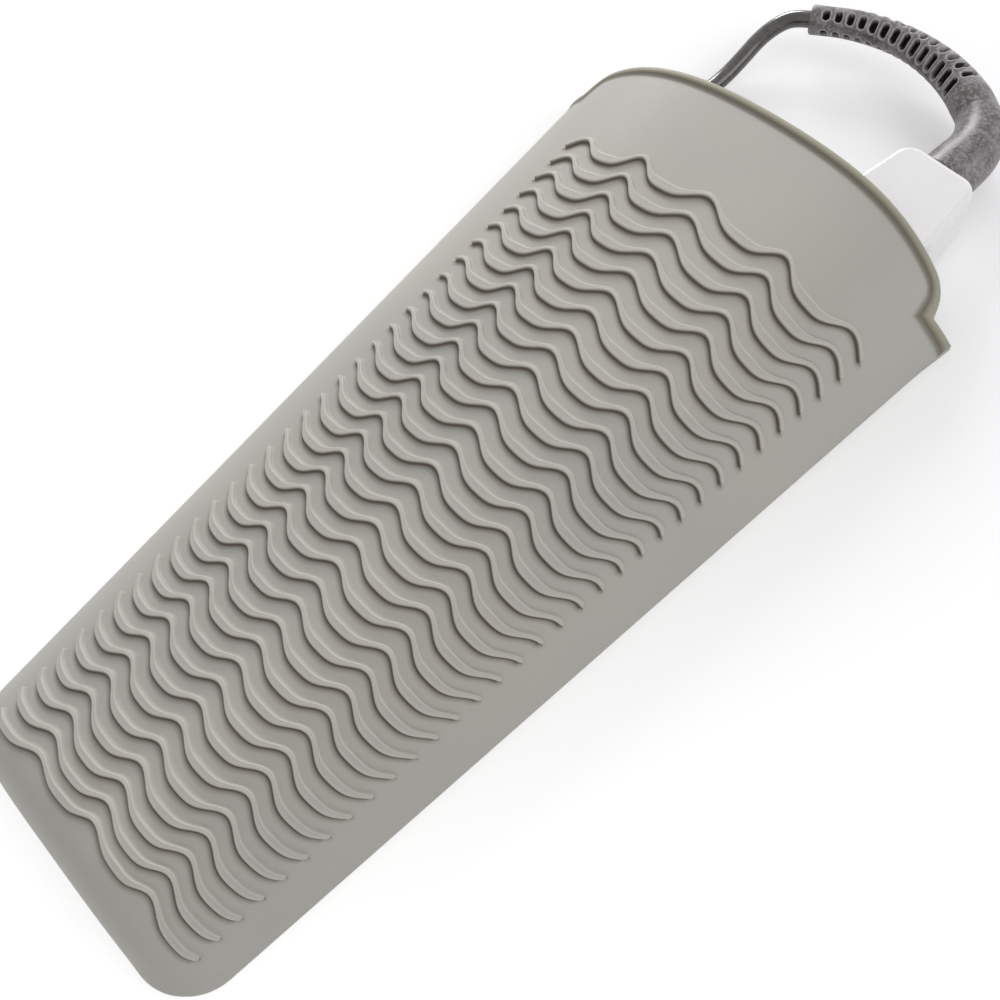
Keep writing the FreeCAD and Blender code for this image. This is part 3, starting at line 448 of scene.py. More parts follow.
def inner_crown(x, y):
    """Height of its inner face, which is the flat seam band near the sides."""
    rise = 1 - (1 - np.clip((y - SEAM_BAND) / CLOSED_RISE, 0.0, 1.0)) ** CLOSED_RISE_POWER
    top = CLOSED_CROWN + (EAR_CROWN - CLOSED_CROWN) * y / EAR_Y - FRONT_THICKNESS - BACK_THICKNESS
    arch = 1 - np.abs(x / (half_width(y) - SEAM_BAND)) ** INNER_POWER
    return BACK_THICKNESS + np.where(y > SEAM_BAND, top * rise * np.maximum(arch, 0.0), 0.0)


def crown_normal(x, y):
    """The outer face's normals, from its slopes over a short step."""
    step = 0.05
    slope_x = (crown(x + step, y) - crown(x - step, y)) / (2 * step)
    slope_y = (crown(x, y + step) - crown(x, y - step)) / (2 * step)
    normal = np.stack([-slope_x, -slope_y, np.ones_like(slope_x)], axis=-1)
    return normal / np.linalg.norm(normal, axis=-1, keepdims=True)


def side_x(y):
    """Half the sleeve's width with the flare below each ear."""
    flare_y = EAR_Y - EAR_FLARE_LENGTH
    tip_y = EAR_Y + EAR_TIP_RISE
    flare = (y - flare_y) / (tip_y - flare_y)
    flared = half_width(flare_y) + (EAR_HALF + EAR_FLARE - half_width(flare_y)) * flare
    return np.where(y < flare_y, half_width(y), flared)


def segment_points(path, share):
    """Points at shares of one stretch, which is a line (a, b) or an arc (centre, radius, start, end)."""
    share = share[:, None]
    if len(path) == 2:
        return np.array(path[0]) * (1 - share) + np.array(path[1]) * share
    centre, radius, start, end = path
    turn = start + (end - start) * share
    return np.array(centre) + radius * np.hstack([np.cos(turn), np.sin(turn)])


def segment_length(path):
    if len(path) == 2:
        return math.dist(*path)
    return path[1] * abs(path[3] - path[2])


def corner_arc(inset):
    """The rounded corner at the right of the closed end, from the flat end to the side."""
    flare_y = EAR_Y - EAR_FLARE_LENGTH
    low, flare_x = CLOSED_HALF - inset, half_width(flare_y) - inset
    radius = CORNER_RADIUS - inset
    slope = math.atan2(flare_y - inset, flare_x - low)
    cut = radius * math.tan(slope / 2)
    return (low - cut, inset + radius), radius, -math.pi / 2, slope - math.pi / 2


def mouth_stretches(inset, apex=RIM_APEX, big=RIM_RADIUS, small=SHOULDER_RADIUS):
    """Right half of the mouth's edge, from the ear's tip to the middle of the rim."""
    big_r, small_r = big - inset, small - inset
    centre_y, corner_x = apex - big, SHOULDER_X - small
    corner_y = centre_y + math.sqrt((big - small) ** 2 - corner_x ** 2)
    touch = math.atan2(corner_y - centre_y, corner_x)
    tip_y = EAR_Y + EAR_TIP_RISE - EAR_TIP_SLOPE * inset
    tip = (float(side_x(tip_y)) - min(inset, SIDE_INSET), tip_y)
    notch = (SHOULDER_X - inset, corner_y - NOTCH_SLOPE * inset)
    return [(tip, notch), (notch, (SHOULDER_X - inset, corner_y + NOTCH_LEAST)),
            ((corner_x, corner_y), small_r, 0.0, touch), ((0.0, centre_y), big_r, touch, math.pi / 2)]


def end_stretches(inset):
    """Right half of the closed end, from the side to its middle."""
    centre, radius, start, end = corner_arc(inset)
    return [(centre, radius, end, start), ((centre[0], inset), (0.0, inset))]


def spread(stretches_at, shares):
    """Columns' places along an edge: a function of the inset that keeps each one on its stretch."""
    lengths = [segment_length(path) for path in stretches_at(0.0)]
    total = sum(lengths)
    bounds = np.concatenate([[0.0], np.cumsum(lengths)]) / total
    halves = np.where(shares < 0.5, shares * 2, (1 - shares) * 2)
    stretch = np.clip(np.searchsorted(bounds, halves, side="right") - 1, 0, len(lengths) - 1)
    local = (halves - bounds[stretch]) / (bounds[stretch + 1] - bounds[stretch])

    def at(inset):
        points = np.zeros((len(shares), 2))
        for index, path in enumerate(stretches_at(inset)):
            chosen = stretch == index
            points[chosen] = segment_points(path, local[chosen])
        points[shares < 0.5, 0] *= -1
        return points
    return at


# Lines of a ridge, from below: distance from its lower edge plus a share of its thickness, height,
# and marks for a painted highlight on its edges and painted shade at its foot
PROFILE = [(-2.3, 0.0, 0.0, 0.0, 0.0), (-1.8, 0.0, 0.0, 0.0, 0.14), (-1.35, 0.0, 0.0, 0.0, 0.28),
           (-0.95, 0.0, 0.0, 0.0, 0.46), (-0.55, 0.0, 0.0, 0.0, 0.78), (-0.28, 0.0, 0.02, 0.0, 1.0),
           (-0.1, 0.0, 0.2, 0.0, 1.0), (-0.02, 0.0, 0.6, 0.0, 0.8), (0.06, 0.0, 0.94, 0.25, 0.3),
           (0.22, 0.0, 1.18, 0.85, 0.0), (0.5, 0.0, 1.28, 1.0, 0.0), (0.75, 0.0, 1.3, 0.5, 0.0),
           (0.0, 0.5, 1.27, 0.0, 0.0), (-0.6, 1.0, 1.27, 0.1, 0.0), (-0.34, 1.0, 1.29, 0.6, 0.0),
           (-0.12, 1.0, 1.16, 0.6, 0.0), (0.04, 1.0, 0.84, 0.2, 0.0), (0.26, 1.0, 0.4, 0.0, 0.1),
           (0.62, 1.0, 0.12, 0.0, 0.16), (1.1, 1.0, 0.0, 0.0, 0.0)]
# Columns near a ridge's end, from outside it to its full thickness
END_STEPS = [-1.5, -0.9, -0.5, -0.2, -0.05, 0.06, 0.18, 0.34, 0.55, 0.85, 1.25]
END_TRIM = 0.3
END_CLOSED = 0.05
# Where a ridge rises and where the painted shade at its foot sets in, in half thicknesses from its end
END_RISE = (-0.12, 0.08)
END_DARKENING = (-1.4, 0.0)
# The gap given beyond the first and last ridge, and the shares of a gap that the ridges' feet take
WIDE_GAP = 20.0
BELOW_SHARE = 0.62
ABOVE_SHARE = 0.3
# How much painted highlight the middle line of a ridge gets where the ridge is narrow
NARROW_LIGHT = 0.85
# Spacing of the columns on the ridges and beside them, and how far a ridge's lines spread at the sides
COLUMN_STEP = 0.62
MARGIN_STEP = 1.7
MARGIN_EXTRA = 2
SIDE_SPREAD = 1.35
# Insets of the lines that round off the sides and the closed end, and those of the mouth
SIDE_INSET = 1.3
SIDE_INSETS = [SIDE_INSET, 0.85, 0.5, 0.25, 0.1, 0.0]
EDGE_INSETS = [5.4, 4.6, 4.15, 3.75, 3.35, 2.8, 2.2] + SIDE_INSETS
EDGE_DROP = 0.9
# The rim's bead: its height, its levels and the painted shade line beside it, by distance from the rim
BEAD_HEIGHT = 0.85
BEAD_LEVELS = ([0.0, 2.1, 2.6, 3.4, 3.8, 4.2], [1.0, 1.0, 0.82, 0.3, 0.08, 0.0])
BEAD_SHADE = ([1.7, 2.4, 2.9, 3.8, 4.7], [0.0, 0.6, 0.85, 0.6, 0.0])
BEAD_LINES = 8
BEAD_FADE = (3.1, 2.5)
# The plain margins at the mouth and at the closed end, and the lines across them
MOUTH_MARGIN = 44.0
END_SQUEEZE_Y = 30.0
END_SQUEEZE = 0.3
PLAIN_LINES = 16
END_LINES = 12
END_CROWDING = 1.6
EAR_POINTS = 6
# Walls down to the seam, the rim's thickness and the inner face
WALL_SHARES = (0.5, 1.0)
RIM_SHARES = (0.35, 0.7, 0.92)
SEAM_BEVEL = 0.25
INNER_LINES = 60
INNER_MARGIN = 0.3
# The back sheet's points along its mouth, closed end and sides, and its rings' insets and levels
BACK_POINTS = (161, 121, 60)
BACK_RINGS = [(0.6, 0.0), (0.25, 0.05), (0.06, 0.2), (0.0, 0.5), (0.0, 1.7), (0.04, 1.95), (0.2, 2.15),
              (0.5, BACK_THICKNESS)]


class Ridge:
    """One row's wave, from the same values as in part.py."""

    def __init__(self, row):
        self.share = row / (ROWS - 1)
        self.drift = max(0.0, 1 - (ROWS - 1 - row) / DRIFT_ROWS) ** 2
        self.left, self.right = self.on_row(RIDGE_LEFT), self.on_row(RIDGE_RIGHT)
        self.turns = [self.on_row(values) for values in RIDGE_TURNS]
        self.swell, self.swing = self.on_row(RIDGE_SWELL), self.on_row(RIDGE_SWING)
        self.y = sum(term * self.share ** power for power, term in enumerate(RIDGE_Y_TERMS))
        self.y += DRIFT_Y * self.drift

    def on_row(self, values):
        first, middle, last, last_drift = values
        share = self.share
        return (first * (1 - share) * (1 - 2 * share) + middle * 4 * share * (1 - share)
                + last * share * (2 * share - 1) + last_drift * self.drift)

    def angle(self, x):
        return np.interp(x, self.turns, math.pi * np.arange(1, len(self.turns) + 1))

    def line(self, x):
        side = (x - RIDGE_MIDDLE_X) / RIDGE_REACH_X
        return (self.y + self.on_row(RIDGE_TILT) * side + self.on_row(RIDGE_BOW) * (1 - side ** 2)
                + self.on_row(RIDGE_SKEW) * (side ** 3 - side))

    def lower_edge(self, x):
        angle, side = self.angle(x), (x - RIDGE_MIDDLE_X) / RIDGE_REACH_X
        wave = np.cos(angle) + CREST_SHARPENING * (np.cos(2 * angle) - 1)
        return self.line(x) + (self.swing + RIDGE_SIDE_SWING * side ** 2) * wave

    def thickness(self, x):
        return RIDGE_THIN + self.swell * (1 - np.cos(self.angle(x))) / 2

    def lines(self, inside, above, below):
        """All lines of one ridge: x of its columns, then y, height, painted highlight and painted shade marks
        of each line.
        """
        round_left, round_right = self.thickness(self.left) / 2, self.thickness(self.right) / 2
        start, stop = self.left + END_TRIM, self.right - END_TRIM
        steps = np.array(END_STEPS)
        middle = np.linspace(start + END_STEPS[-1], stop - END_STEPS[-1], inside)[1:-1]
        body = np.concatenate([start + steps, middle, (stop - steps)[::-1]])
        depth = np.minimum((body - start) / round_left, (stop - body) / round_right)
        at = np.clip(body, self.left, self.right)
        width, base = self.thickness(at), self.lower_edge(at)
        gap_below = base - below.lower_edge(at) - below.thickness(at) if below else np.full_like(at, WIDE_GAP)
        gap_above = above.lower_edge(at) - base - width if above else np.full_like(at, WIDE_GAP)
        opening = blend(END_CLOSED, 1.0, np.sqrt(1 - (1 - np.clip(depth, 0.0, 1.0)) ** 2))
        raised = rising(depth, *END_RISE)
        darkened = rising(depth, *END_DARKENING)
        narrow = 1 - (width - RIDGE_THIN) / self.swell
        made = []
        for offset, share, height, edge, foot_shade in PROFILE:
            reach = offset * opening
            if share == 0.0 and offset < 0:
                reach = offset * np.minimum(1.0, BELOW_SHARE * gap_below / -PROFILE[0][0])
            if share == 1.0 and offset > 0:
                reach = offset * np.minimum(1.0, ABOVE_SHARE * gap_above / PROFILE[-1][0])
            y = base + width / 2 + reach + (share - 0.5) * width * opening
            side = (offset + (share - 0.5) * RIDGE_THIN) * SIDE_SPREAD
            # The middle line takes painted highlight where the ridge is narrow
            light = np.maximum(edge, NARROW_LIGHT * narrow) if share == 0.5 else edge
            made.append((y, height * raised, light * raised, foot_shade * darkened, side))
        return body, made


def sleeve_grid():
    """Lines of the front sheet's outer face from the mouth to the closed end."""
    ridges = [Ridge(row) for row in range(ROWS)]
    mouth_half = half_width(RIM_APEX - MOUTH_MARGIN)
    inside = round((RIDGE_RIGHT[0] - RIDGE_LEFT[0]) / COLUMN_STEP)
    left_count = round((mouth_half + RIDGE_LEFT[0]) / MARGIN_STEP)
    right_count = round((mouth_half - RIDGE_RIGHT[0]) / MARGIN_STEP) + MARGIN_EXTRA
    columns = left_count + right_count + inside - 2 + 2 * len(END_STEPS)
    plan, height, edge, foot_shade = [], [], [], []

    def add(points, level=0.0, light=0.0, dark=0.0):
        plan.append(points)
        height.append(np.broadcast_to(level, columns))
        edge.append(np.broadcast_to(light, columns))
        foot_shade.append(np.broadcast_to(dark, columns))

    def whole_line(body, y, side_y):
        side_y = np.asarray(side_y)
        side_y = side_y + END_SQUEEZE * np.maximum(END_SQUEEZE_Y - side_y, 0.0)
        left_side, right_side = -(side_x(side_y[0]) - SIDE_INSET), side_x(side_y[1]) - SIDE_INSET
        left_share = np.arange(left_count) / left_count
        right_share = np.arange(1, right_count + 1) / right_count
        x = np.concatenate([blend(left_side, body[0], left_share), body,
                            blend(body[-1], right_side, right_share)])
        y_all = np.concatenate([blend(side_y[0], y[0], smooth(left_share)), y,
                                blend(y[-1], side_y[1], smooth(right_share))])
        return np.stack([x, y_all], axis=-1)

    def padded(values):
        return np.concatenate([np.zeros(left_count), values, np.zeros(right_count)])

    ridge_lines = []
    for above, ridge, below in zip([None] + ridges[:-1], ridges, ridges[1:] + [None]):
        body, lines = ridge.lines(inside, above, below)
        for y, level, light, dark, side in reversed(lines):
            ends = (ridge.line(body[0]) + side, ridge.line(body[-1]) + side)
            ridge_lines.append((whole_line(body, y, ends), padded(level), padded(light), padded(dark)))
    first, last = ridge_lines[0][0], ridge_lines[-1][0]
    mouth = spread(mouth_stretches, (first[:, 0] - first[0, 0]) / (first[-1, 0] - first[0, 0]))
    end = spread(end_stretches, (last[:, 0] - last[0, 0]) / (last[-1, 0] - last[0, 0]))
    # From the rim inwards: the edge's own insets, with painted shade beside the bead, then plain lines to the
    # first ridge
    for gap in reversed(EDGE_INSETS):
        add(mouth(gap), 0.0, 0.0, np.interp(gap, *BEAD_SHADE))
    far = mouth(EDGE_INSETS[0])
    for k in range(1, PLAIN_LINES):
        add(blend(far, first, k / PLAIN_LINES))
    for points, level, light, dark in ridge_lines:
        add(points, level, light, dark)
    near = end(SIDE_INSET)
    for k in range(1, END_LINES):
        add(blend(last, near, 1 - (1 - k / END_LINES) ** END_CROWDING))
    for gap in SIDE_INSETS:
        add(end(gap))
    return np.array(plan), np.array(height), np.array(edge), np.array(foot_shade), mouth


def edge_drop(gap):
    """How far an edge rounds down at a distance inside its outline."""
    share = np.clip(1 - gap / SIDE_INSET, 0.0, 1.0)
    return EDGE_DROP * (1 - np.sqrt(1 - share ** 2))


def sheet_normals(x, y, height):
    """The crown's own normals wherever the sheet is plain, and zeros elsewhere."""
    plain = height <= 0.0
    plain[:len(EDGE_INSETS)] = False
    plain[1 - len(SIDE_INSETS):] = False
    return crown_normal(x, y) * plain[..., None]


def wall_down(rim, inwards):
    """Rows from an outline down to the seam, where the last one turns in."""
    rows = []
    for share in WALL_SHARES:
        rows.append(np.column_stack([rim[:, :2], blend(rim[:, 2], BACK_THICKNESS + SEAM_BEVEL, share)]))
    seam = rows[-1] + inwards
    seam[:, 2] = BACK_THICKNESS
    return rows + [seam]


def sleeve_front():
    """The front sheet and its ridges in one skin: outer face, sides, closed end, rim and inner face."""
    plan, height, edge, foot_shade, mouth = sleeve_grid()
    x, y = plan[..., 0], plan[..., 1]
    lines, columns = x.shape
    side_lines = len(SIDE_INSETS)
    outer = np.stack([x, y, crown(x, y)], axis=-1)
    outer = outer + crown_normal(x, y) * height[..., None]
    for k, gap in enumerate(reversed(EDGE_INSETS)):
        outer[k, :, 2] += BEAD_HEIGHT * np.interp(gap, *BEAD_LEVELS) - edge_drop(gap)
    for k, gap in enumerate(SIDE_INSETS):
        outer[lines - side_lines + k, :, 2] -= edge_drop(gap)
    bead = np.zeros_like(x)
    bead[:BEAD_LINES] = 1.0
    points, faces = [outer.reshape(-1, 3)], grid_faces(lines, columns, flip=True)
    marks = {"edge": [edge.ravel()], "foot_shade": [foot_shade.ravel()], "bead": [bead.ravel()]}
    count = lines * columns

    def add_strip(rows, flip=False, dark=0.0, tinted=0.0):
        nonlocal count
        strip = np.array(rows)
        points.append(strip.reshape(-1, 3))
        for name, value in (("edge", 0.0), ("foot_shade", dark), ("bead", tinted)):
            marks[name].append(np.broadcast_to(value, strip.shape[:2]).ravel())
        faces.extend(grid_faces(*strip.shape[:2], count, flip))
        count += strip.shape[0] * strip.shape[1]

    # Sides: rounding out to the outline, then down the wall to the seam, with painted shade beside the bead
    # near the ears
    tip_y = EAR_Y + EAR_TIP_RISE
    for column, sign in ((0, -1), (columns - 1, 1)):
        base_y = plan[side_lines - 1:lines - side_lines + 1, column, 1]
        base_y = np.concatenate([np.linspace(tip_y, base_y[0], EAR_POINTS)[:-1], base_y])
        from_rim = (tip_y - base_y) / EAR_TIP_SLOPE
        raised = BEAD_HEIGHT * np.interp(from_rim, *BEAD_LEVELS)
        rows = []
        for k, gap in enumerate(SIDE_INSETS):
            inset = np.minimum(gap, from_rim)
            px = sign * (side_x(base_y) - inset)
            row = np.stack([px, base_y, crown(px, base_y) - edge_drop(inset) + raised], axis=-1)
            row[-1] = outer[lines - side_lines + k, column]
            rows.append(row)
        add_strip(rows + wall_down(rows[-1], (-sign * SEAM_BEVEL, 0.0, 0.0)), flip=sign < 0,
                  dark=np.interp(from_rim, *BEAD_SHADE), tinted=rising(from_rim, *BEAD_FADE))
    # Closed end: the wall down to the seam
    add_strip([outer[-1]] + wall_down(outer[-1], (0.0, SEAM_BEVEL, 0.0)), flip=True)
    # Mouth: the rim's thickness down to the inner face, then the inner face itself
    rim = outer[0]
    inner_z = inner_crown(rim[:, 0], rim[:, 1])
    rows = [rim]
    for share in RIM_SHARES:
        rows.append(np.column_stack([rim[:, :2], blend(rim[:, 2], inner_z, share)]))
    inside = mouth(SEAM_BEVEL)
    start = np.column_stack([inside, inner_crown(inside[:, 0], inside[:, 1])])
    add_strip(rows + [start])
    share_x = start[:, 0] / side_x(np.minimum(start[:, 1], tip_y))
    rows = [start]
    for k in range(1, INNER_LINES):
        py = blend(start[:, 1], INNER_MARGIN, k / (INNER_LINES - 1))
        px = share_x * (np.where(py < CORNER_RADIUS, crown_half(py), side_x(py)) - INNER_MARGIN)
        rows.append(np.stack([px, py, inner_crown(px, py)], axis=-1))
    add_strip(rows)
    stacked = {name: np.concatenate(values) for name, values in marks.items()}
    normals = np.zeros((count, 3))
    normals[:lines * columns] = sheet_normals(x, y, height).reshape(-1, 3)
    piece = mesh_piece("sleeve_front_skin", np.concatenate(points), faces, "sleeve", "sleeve_silicone",
                       stacked, normals)
    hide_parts("sleeve_front_sheet", "sleeve_ridges")


def sleeve_back():
    """The flat back sheet with small roundings all round."""
    def stretches(inset):
        return mouth_stretches(inset, BACK_APEX, BACK_RIM_RADIUS, BACK_SHOULDER_RADIUS)

    mouth_count, end_count, side_count = BACK_POINTS
    mouth = spread(stretches, np.linspace(0.0, 1.0, mouth_count))
    end = spread(end_stretches, np.linspace(0.0, 1.0, end_count))
    side_y = np.linspace(CORNER_RADIUS, EAR_Y, side_count)
    points = []
    for inset, level in BACK_RINGS:
        right = np.stack([side_x(side_y) - inset, side_y], axis=-1)
        outline = np.concatenate([mouth(inset)[::-1], (right * (-1, 1))[::-1], end(inset), right])
        points.append(np.column_stack([outline, np.full(len(outline), level)]))
    rings, count = len(points), len(points[0])
    faces = ring_faces(rings, count)
    faces.append(tuple(reversed(range(count))))
    faces.append(tuple(range((rings - 1) * count, rings * count)))
    marks = {name: np.zeros(rings * count) for name in ("edge", "foot_shade", "bead")}
    piece = mesh_piece("sleeve_back_skin", np.concatenate(points), faces, "sleeve", "sleeve_silicone", marks)
    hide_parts("sleeve_back_sheet")


# Cord guard, as in part.py
GUARD_RUNS = ((11.8, None), (20.0 * math.radians(57.0), 20.0), (57.0 * math.radians(63.0), 57.0),
              (8.0, None))
GUARD_LENGTH = sum(run for run, _ in GUARD_RUNS)
TAIL_END_V = 300.0
GUARD_BASE_RADIUS = 9.0
GUARD_ROOT_RADIUS = 6.7
GUARD_TIP_RADIUS = 4.8
GUARD_SMOOTH = 0.36 * GUARD_LENGTH
GUARD_COLLAR = 8.0
GUARD_SWELL_END = 31.6
# Rings: their places and radii at the root, in the tail and out of it, then the body's, then the
# tip's by distance before the end and by what its rounding takes off the radius
GUARD_ROOT = [(-3.2, 0.05), (-3.2, 7.6), (-1.8, 7.6), (-1.8, 6.0), (0.0, 6.0), (0.0, 8.3), (0.15, 8.75),
              (0.4, 8.95)]
GUARD_BODY_START = 0.8
GUARD_BODY_STOP = 1.0
GUARD_STEP = 0.22
GUARD_TIP = [(0.9, 0.0), (0.45, 0.1), (0.15, 0.35), (0.0, 0.75)]
GUARD_AROUND = 180
# The cord's hole: radii, and depths from the end
GUARD_BORE = [(2.95, 0.0), (2.86, 0.3), (2.84, 2.5), (0.1, 2.5)]
# Painted shade inside the cord's hole
BORE_DARK = 0.6
SLOT_COUNT = 14
SLOT_SPAN = (43.2, 97.2)
SLOT_WIDTH = 2.3
SLOT_DEPTH = 2.4
SLOT_HALF = (3.7, 1.9)
SLOT_LIP = (-0.12, 0.14)
# Painted shade inside the slots, by how deep they cut
SLOT_DARK = (0.02, 0.27)
# Painted highlight round the slots' rims: its width and how it fades
SLOT_RIM_WIDTH = 0.5
SLOT_RIM_SHARE = 0.6
FACE_TURN = (math.radians(-59.0), math.radians(-20.0))
OUTER_ROW_S = (43.2, 66.0, 97.2)
OUTER_ROW_TURN = (math.radians(20.0), math.radians(24.0), math.radians(70.0))
# The ribbed part's section: a rounded square, and how round the collar is again
SECTION_POWER = 2.8
SECTION_SHARE = 0.9
COLLAR_ROUNDING = 0.6


def guard_axis(travel):
    """Centre and heading, in the tool's frame, at a distance from the tail's end face."""
    u, v, heading, left = 0.0, TAIL_END_V, math.pi / 2, travel
    for run, radius in GUARD_RUNS:
        step = min(left, run)
        if radius is None:
            u, v = u + step * math.cos(heading), v + step * math.sin(heading)
        else:
            turned = heading + step / radius
            u += radius * (math.sin(turned) - math.sin(heading))
            v -= radius * (math.cos(turned) - math.cos(heading))
            heading = turned
        left -= step
    if travel < 0:
        v += travel
    return u, v, heading


def guard_radius(s):
    swell = np.clip(1 - (s / GUARD_SWELL_END) ** 2, 0.0, 1.0)
    root = blend(GUARD_ROOT_RADIUS, GUARD_BASE_RADIUS, swell)
    taper = np.clip((s - GUARD_SMOOTH) / (GUARD_LENGTH - GUARD_COLLAR - GUARD_SMOOTH), 0.0, 1.0)
    return root + (GUARD_TIP_RADIUS - GUARD_ROOT_RADIUS) * taper


def face_turn(s):
    """How far the ribbed part's four faces are turned from the top towards the inside of the bend."""
    return blend(*FACE_TURN, np.clip((s - SLOT_SPAN[0]) / (SLOT_SPAN[1] - SLOT_SPAN[0]), 0.0, 1.0))


def slot_rows(s):
    """Where the four rows of slots sit round the guard: the outer one leaves its face near the elbow."""
    turn = face_turn(s)
    return [turn, np.interp(s, OUTER_ROW_S, OUTER_ROW_TURN), turn + math.pi, turn - math.pi / 2]


def slot_depth(s, angle, wider=0.0):
    """How deep the slots cut at a place: one row on each of the four faces."""
    pitch = (SLOT_SPAN[1] - SLOT_SPAN[0]) / (SLOT_COUNT - 1)
    place_in = (s - SLOT_SPAN[0]) / pitch
    nearest = np.round(place_in)
    along = (place_in - nearest) * pitch
    live = (nearest >= 0) & (nearest < SLOT_COUNT)
    half = blend(*SLOT_HALF, np.clip(place_in / (SLOT_COUNT - 1), 0.0, 1.0))
    depth = np.zeros_like(s)
    for row in slot_rows(s):
        turn = (angle - row + math.pi) % (2 * math.pi) - math.pi
        end = np.maximum(np.abs(turn) * guard_radius(s) - (half - SLOT_WIDTH / 2), 0.0)
        inside = wider + SLOT_WIDTH / 2 - np.sqrt(along ** 2 + end ** 2)
        depth = np.maximum(depth, np.where(live, rising(inside, *SLOT_LIP), 0.0))
    return depth


def guard_ring(travel, angles, radius, back=0.0):
    """Points round the guard's axis, from the top towards the outside of the bend."""
    u, v, heading = guard_axis(travel)
    side, up = radius * np.sin(angles), radius * np.cos(angles)
    u = u - back * math.cos(heading) + side * math.sin(heading)
    v = v - back * math.sin(heading) - side * math.cos(heading)
    return np.stack(from_tool(u, v, TOOL_MIDDLE + up), axis=-1)


def guard_piece():
    """The guard's root in the tail, smooth elbow, slotted part with a rounded square section, and tip."""
    root, tip = np.array(GUARD_ROOT), np.array(GUARD_TIP)
    body = np.arange(GUARD_BODY_START, GUARD_LENGTH - GUARD_BODY_STOP, GUARD_STEP)
    travels = np.concatenate([root[:, 0], body, GUARD_LENGTH - tip[:, 0]])
    angles = np.linspace(0.0, 2 * math.pi, GUARD_AROUND, endpoint=False)
    radius = guard_radius(np.maximum(travels, 0.0))
    radius[:len(root)] = root[:, 1]
    radius[-len(tip):] -= tip[:, 1]
    squareness = rising(travels, GUARD_SMOOTH, SLOT_SPAN[0])
    squareness *= 1 - rising(travels, GUARD_LENGTH - GUARD_COLLAR, GUARD_LENGTH) * COLLAR_ROUNDING
    s, a = np.meshgrid(travels, angles, indexing="ij")
    turned = a - face_turn(s)
    square = np.abs(np.cos(turned)) ** SECTION_POWER + np.abs(np.sin(turned)) ** SECTION_POWER
    shape = 1 + (square ** (-1 / SECTION_POWER) * SECTION_SHARE - 1) * squareness[:, None]
    depth = slot_depth(s, a)
    reach = radius[:, None] * shape - depth * SLOT_DEPTH
    rings = [guard_ring(travel, angles, sizes) for travel, sizes in zip(travels, reach)]
    rings += [guard_ring(GUARD_LENGTH, angles, size, back) for size, back in GUARD_BORE]
    # Painted shade inside the slots and the cord's hole
    bore = [np.full((1, GUARD_AROUND), BORE_DARK if back else 0.0) for _, back in GUARD_BORE]
    slot = rising(np.concatenate([depth] + bore), *SLOT_DARK)
    # Painted highlight round the slots' rims
    rim = smooth(slot_depth(s, a, SLOT_RIM_WIDTH) / SLOT_RIM_SHARE)
    edge = np.concatenate([rim, np.zeros((len(GUARD_BORE), GUARD_AROUND))])
    piece = mesh_piece("cord_guard_boot", np.concatenate(rings), ring_faces(len(rings), GUARD_AROUND),
                       "tool", "guard_rubber", {"slot": slot.ravel(), "edge": edge.ravel()})
    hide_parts("cord_guard")


# Mains cord, as in part.py
CORD_DIAMETER = 5.6
LEAD_EXIT_RUN = 5.2
LEAD_ROUTE = [(-39.6, 346.0, 11.2), (-41.9, 339.4, 9.0), (-42.3, 330.8, 6.4), (-42.8, 320.4, 4.2),
              (-44.5, 306.0, 4.3), (-47.4, 288.2, 6.4)]
TAIL_ROUTE = [(-87.45, 146.0, 12.5), (-83.8, 135.5, 11.9), (-77.5, 127.0, 10.9), (-70.5, 119.5, 9.8),
              (-66.0, 111.3, 8.5), (-66.0, 104.0, 8.5)]
HANK_CENTRE_U = -61.2
HANK_LOWER_V, HANK_UPPER_V = 157.0, 245.0
HANK_FOLDS = (26.25, 23.1, 19.95, 16.8, 16.8, 19.95, 23.1, 26.25)
HANK_FIRST_Z = 6.6
HANK_CLIMB = 6.1
HANK_WAIST = 6.0
FOLD_POINTS = 8
FOLD_SHARE = 0.981
RUN_SHARES = (0.16, 0.34, 0.5, 0.66, 0.84)
CORD_ORDER = 3
CORD_STEPS = 8


def hank_points():
    """Control points of the hank: nine runs drawn in at the tie, with round folds between them."""
    u, z, points = HANK_CENTRE_U - HANK_FOLDS[0], HANK_FIRST_Z, []
    for k in range(len(HANK_FOLDS) + 1):
        side, heading = (1, -1) if k % 2 == 0 else (-1, 1)
        start, end = (HANK_UPPER_V, HANK_LOWER_V) if heading < 0 else (HANK_LOWER_V, HANK_UPPER_V)
        climb = HANK_CLIMB if k == len(HANK_FOLDS) // 2 else 0.0
        for share in RUN_SHARES:
            drawn = HANK_WAIST * float(smooth(1 - abs(2 * share - 1)))
            points.append(from_tool(u + side * drawn, blend(start, end, share),
                                    z + climb * float(smooth(share))))
        z += climb
        if k == len(HANK_FOLDS):
            break
        radius = HANK_FOLDS[k]
        centre = u + side * radius
        for step in range(FOLD_POINTS):
            turn = math.pi * (step + 0.5) / FOLD_POINTS
            reach = radius / FOLD_SHARE
            points.append(from_tool(centre - side * reach * math.cos(turn),
                                    end + heading * reach * math.sin(turn), z))
        u += 2 * side * radius
    return points


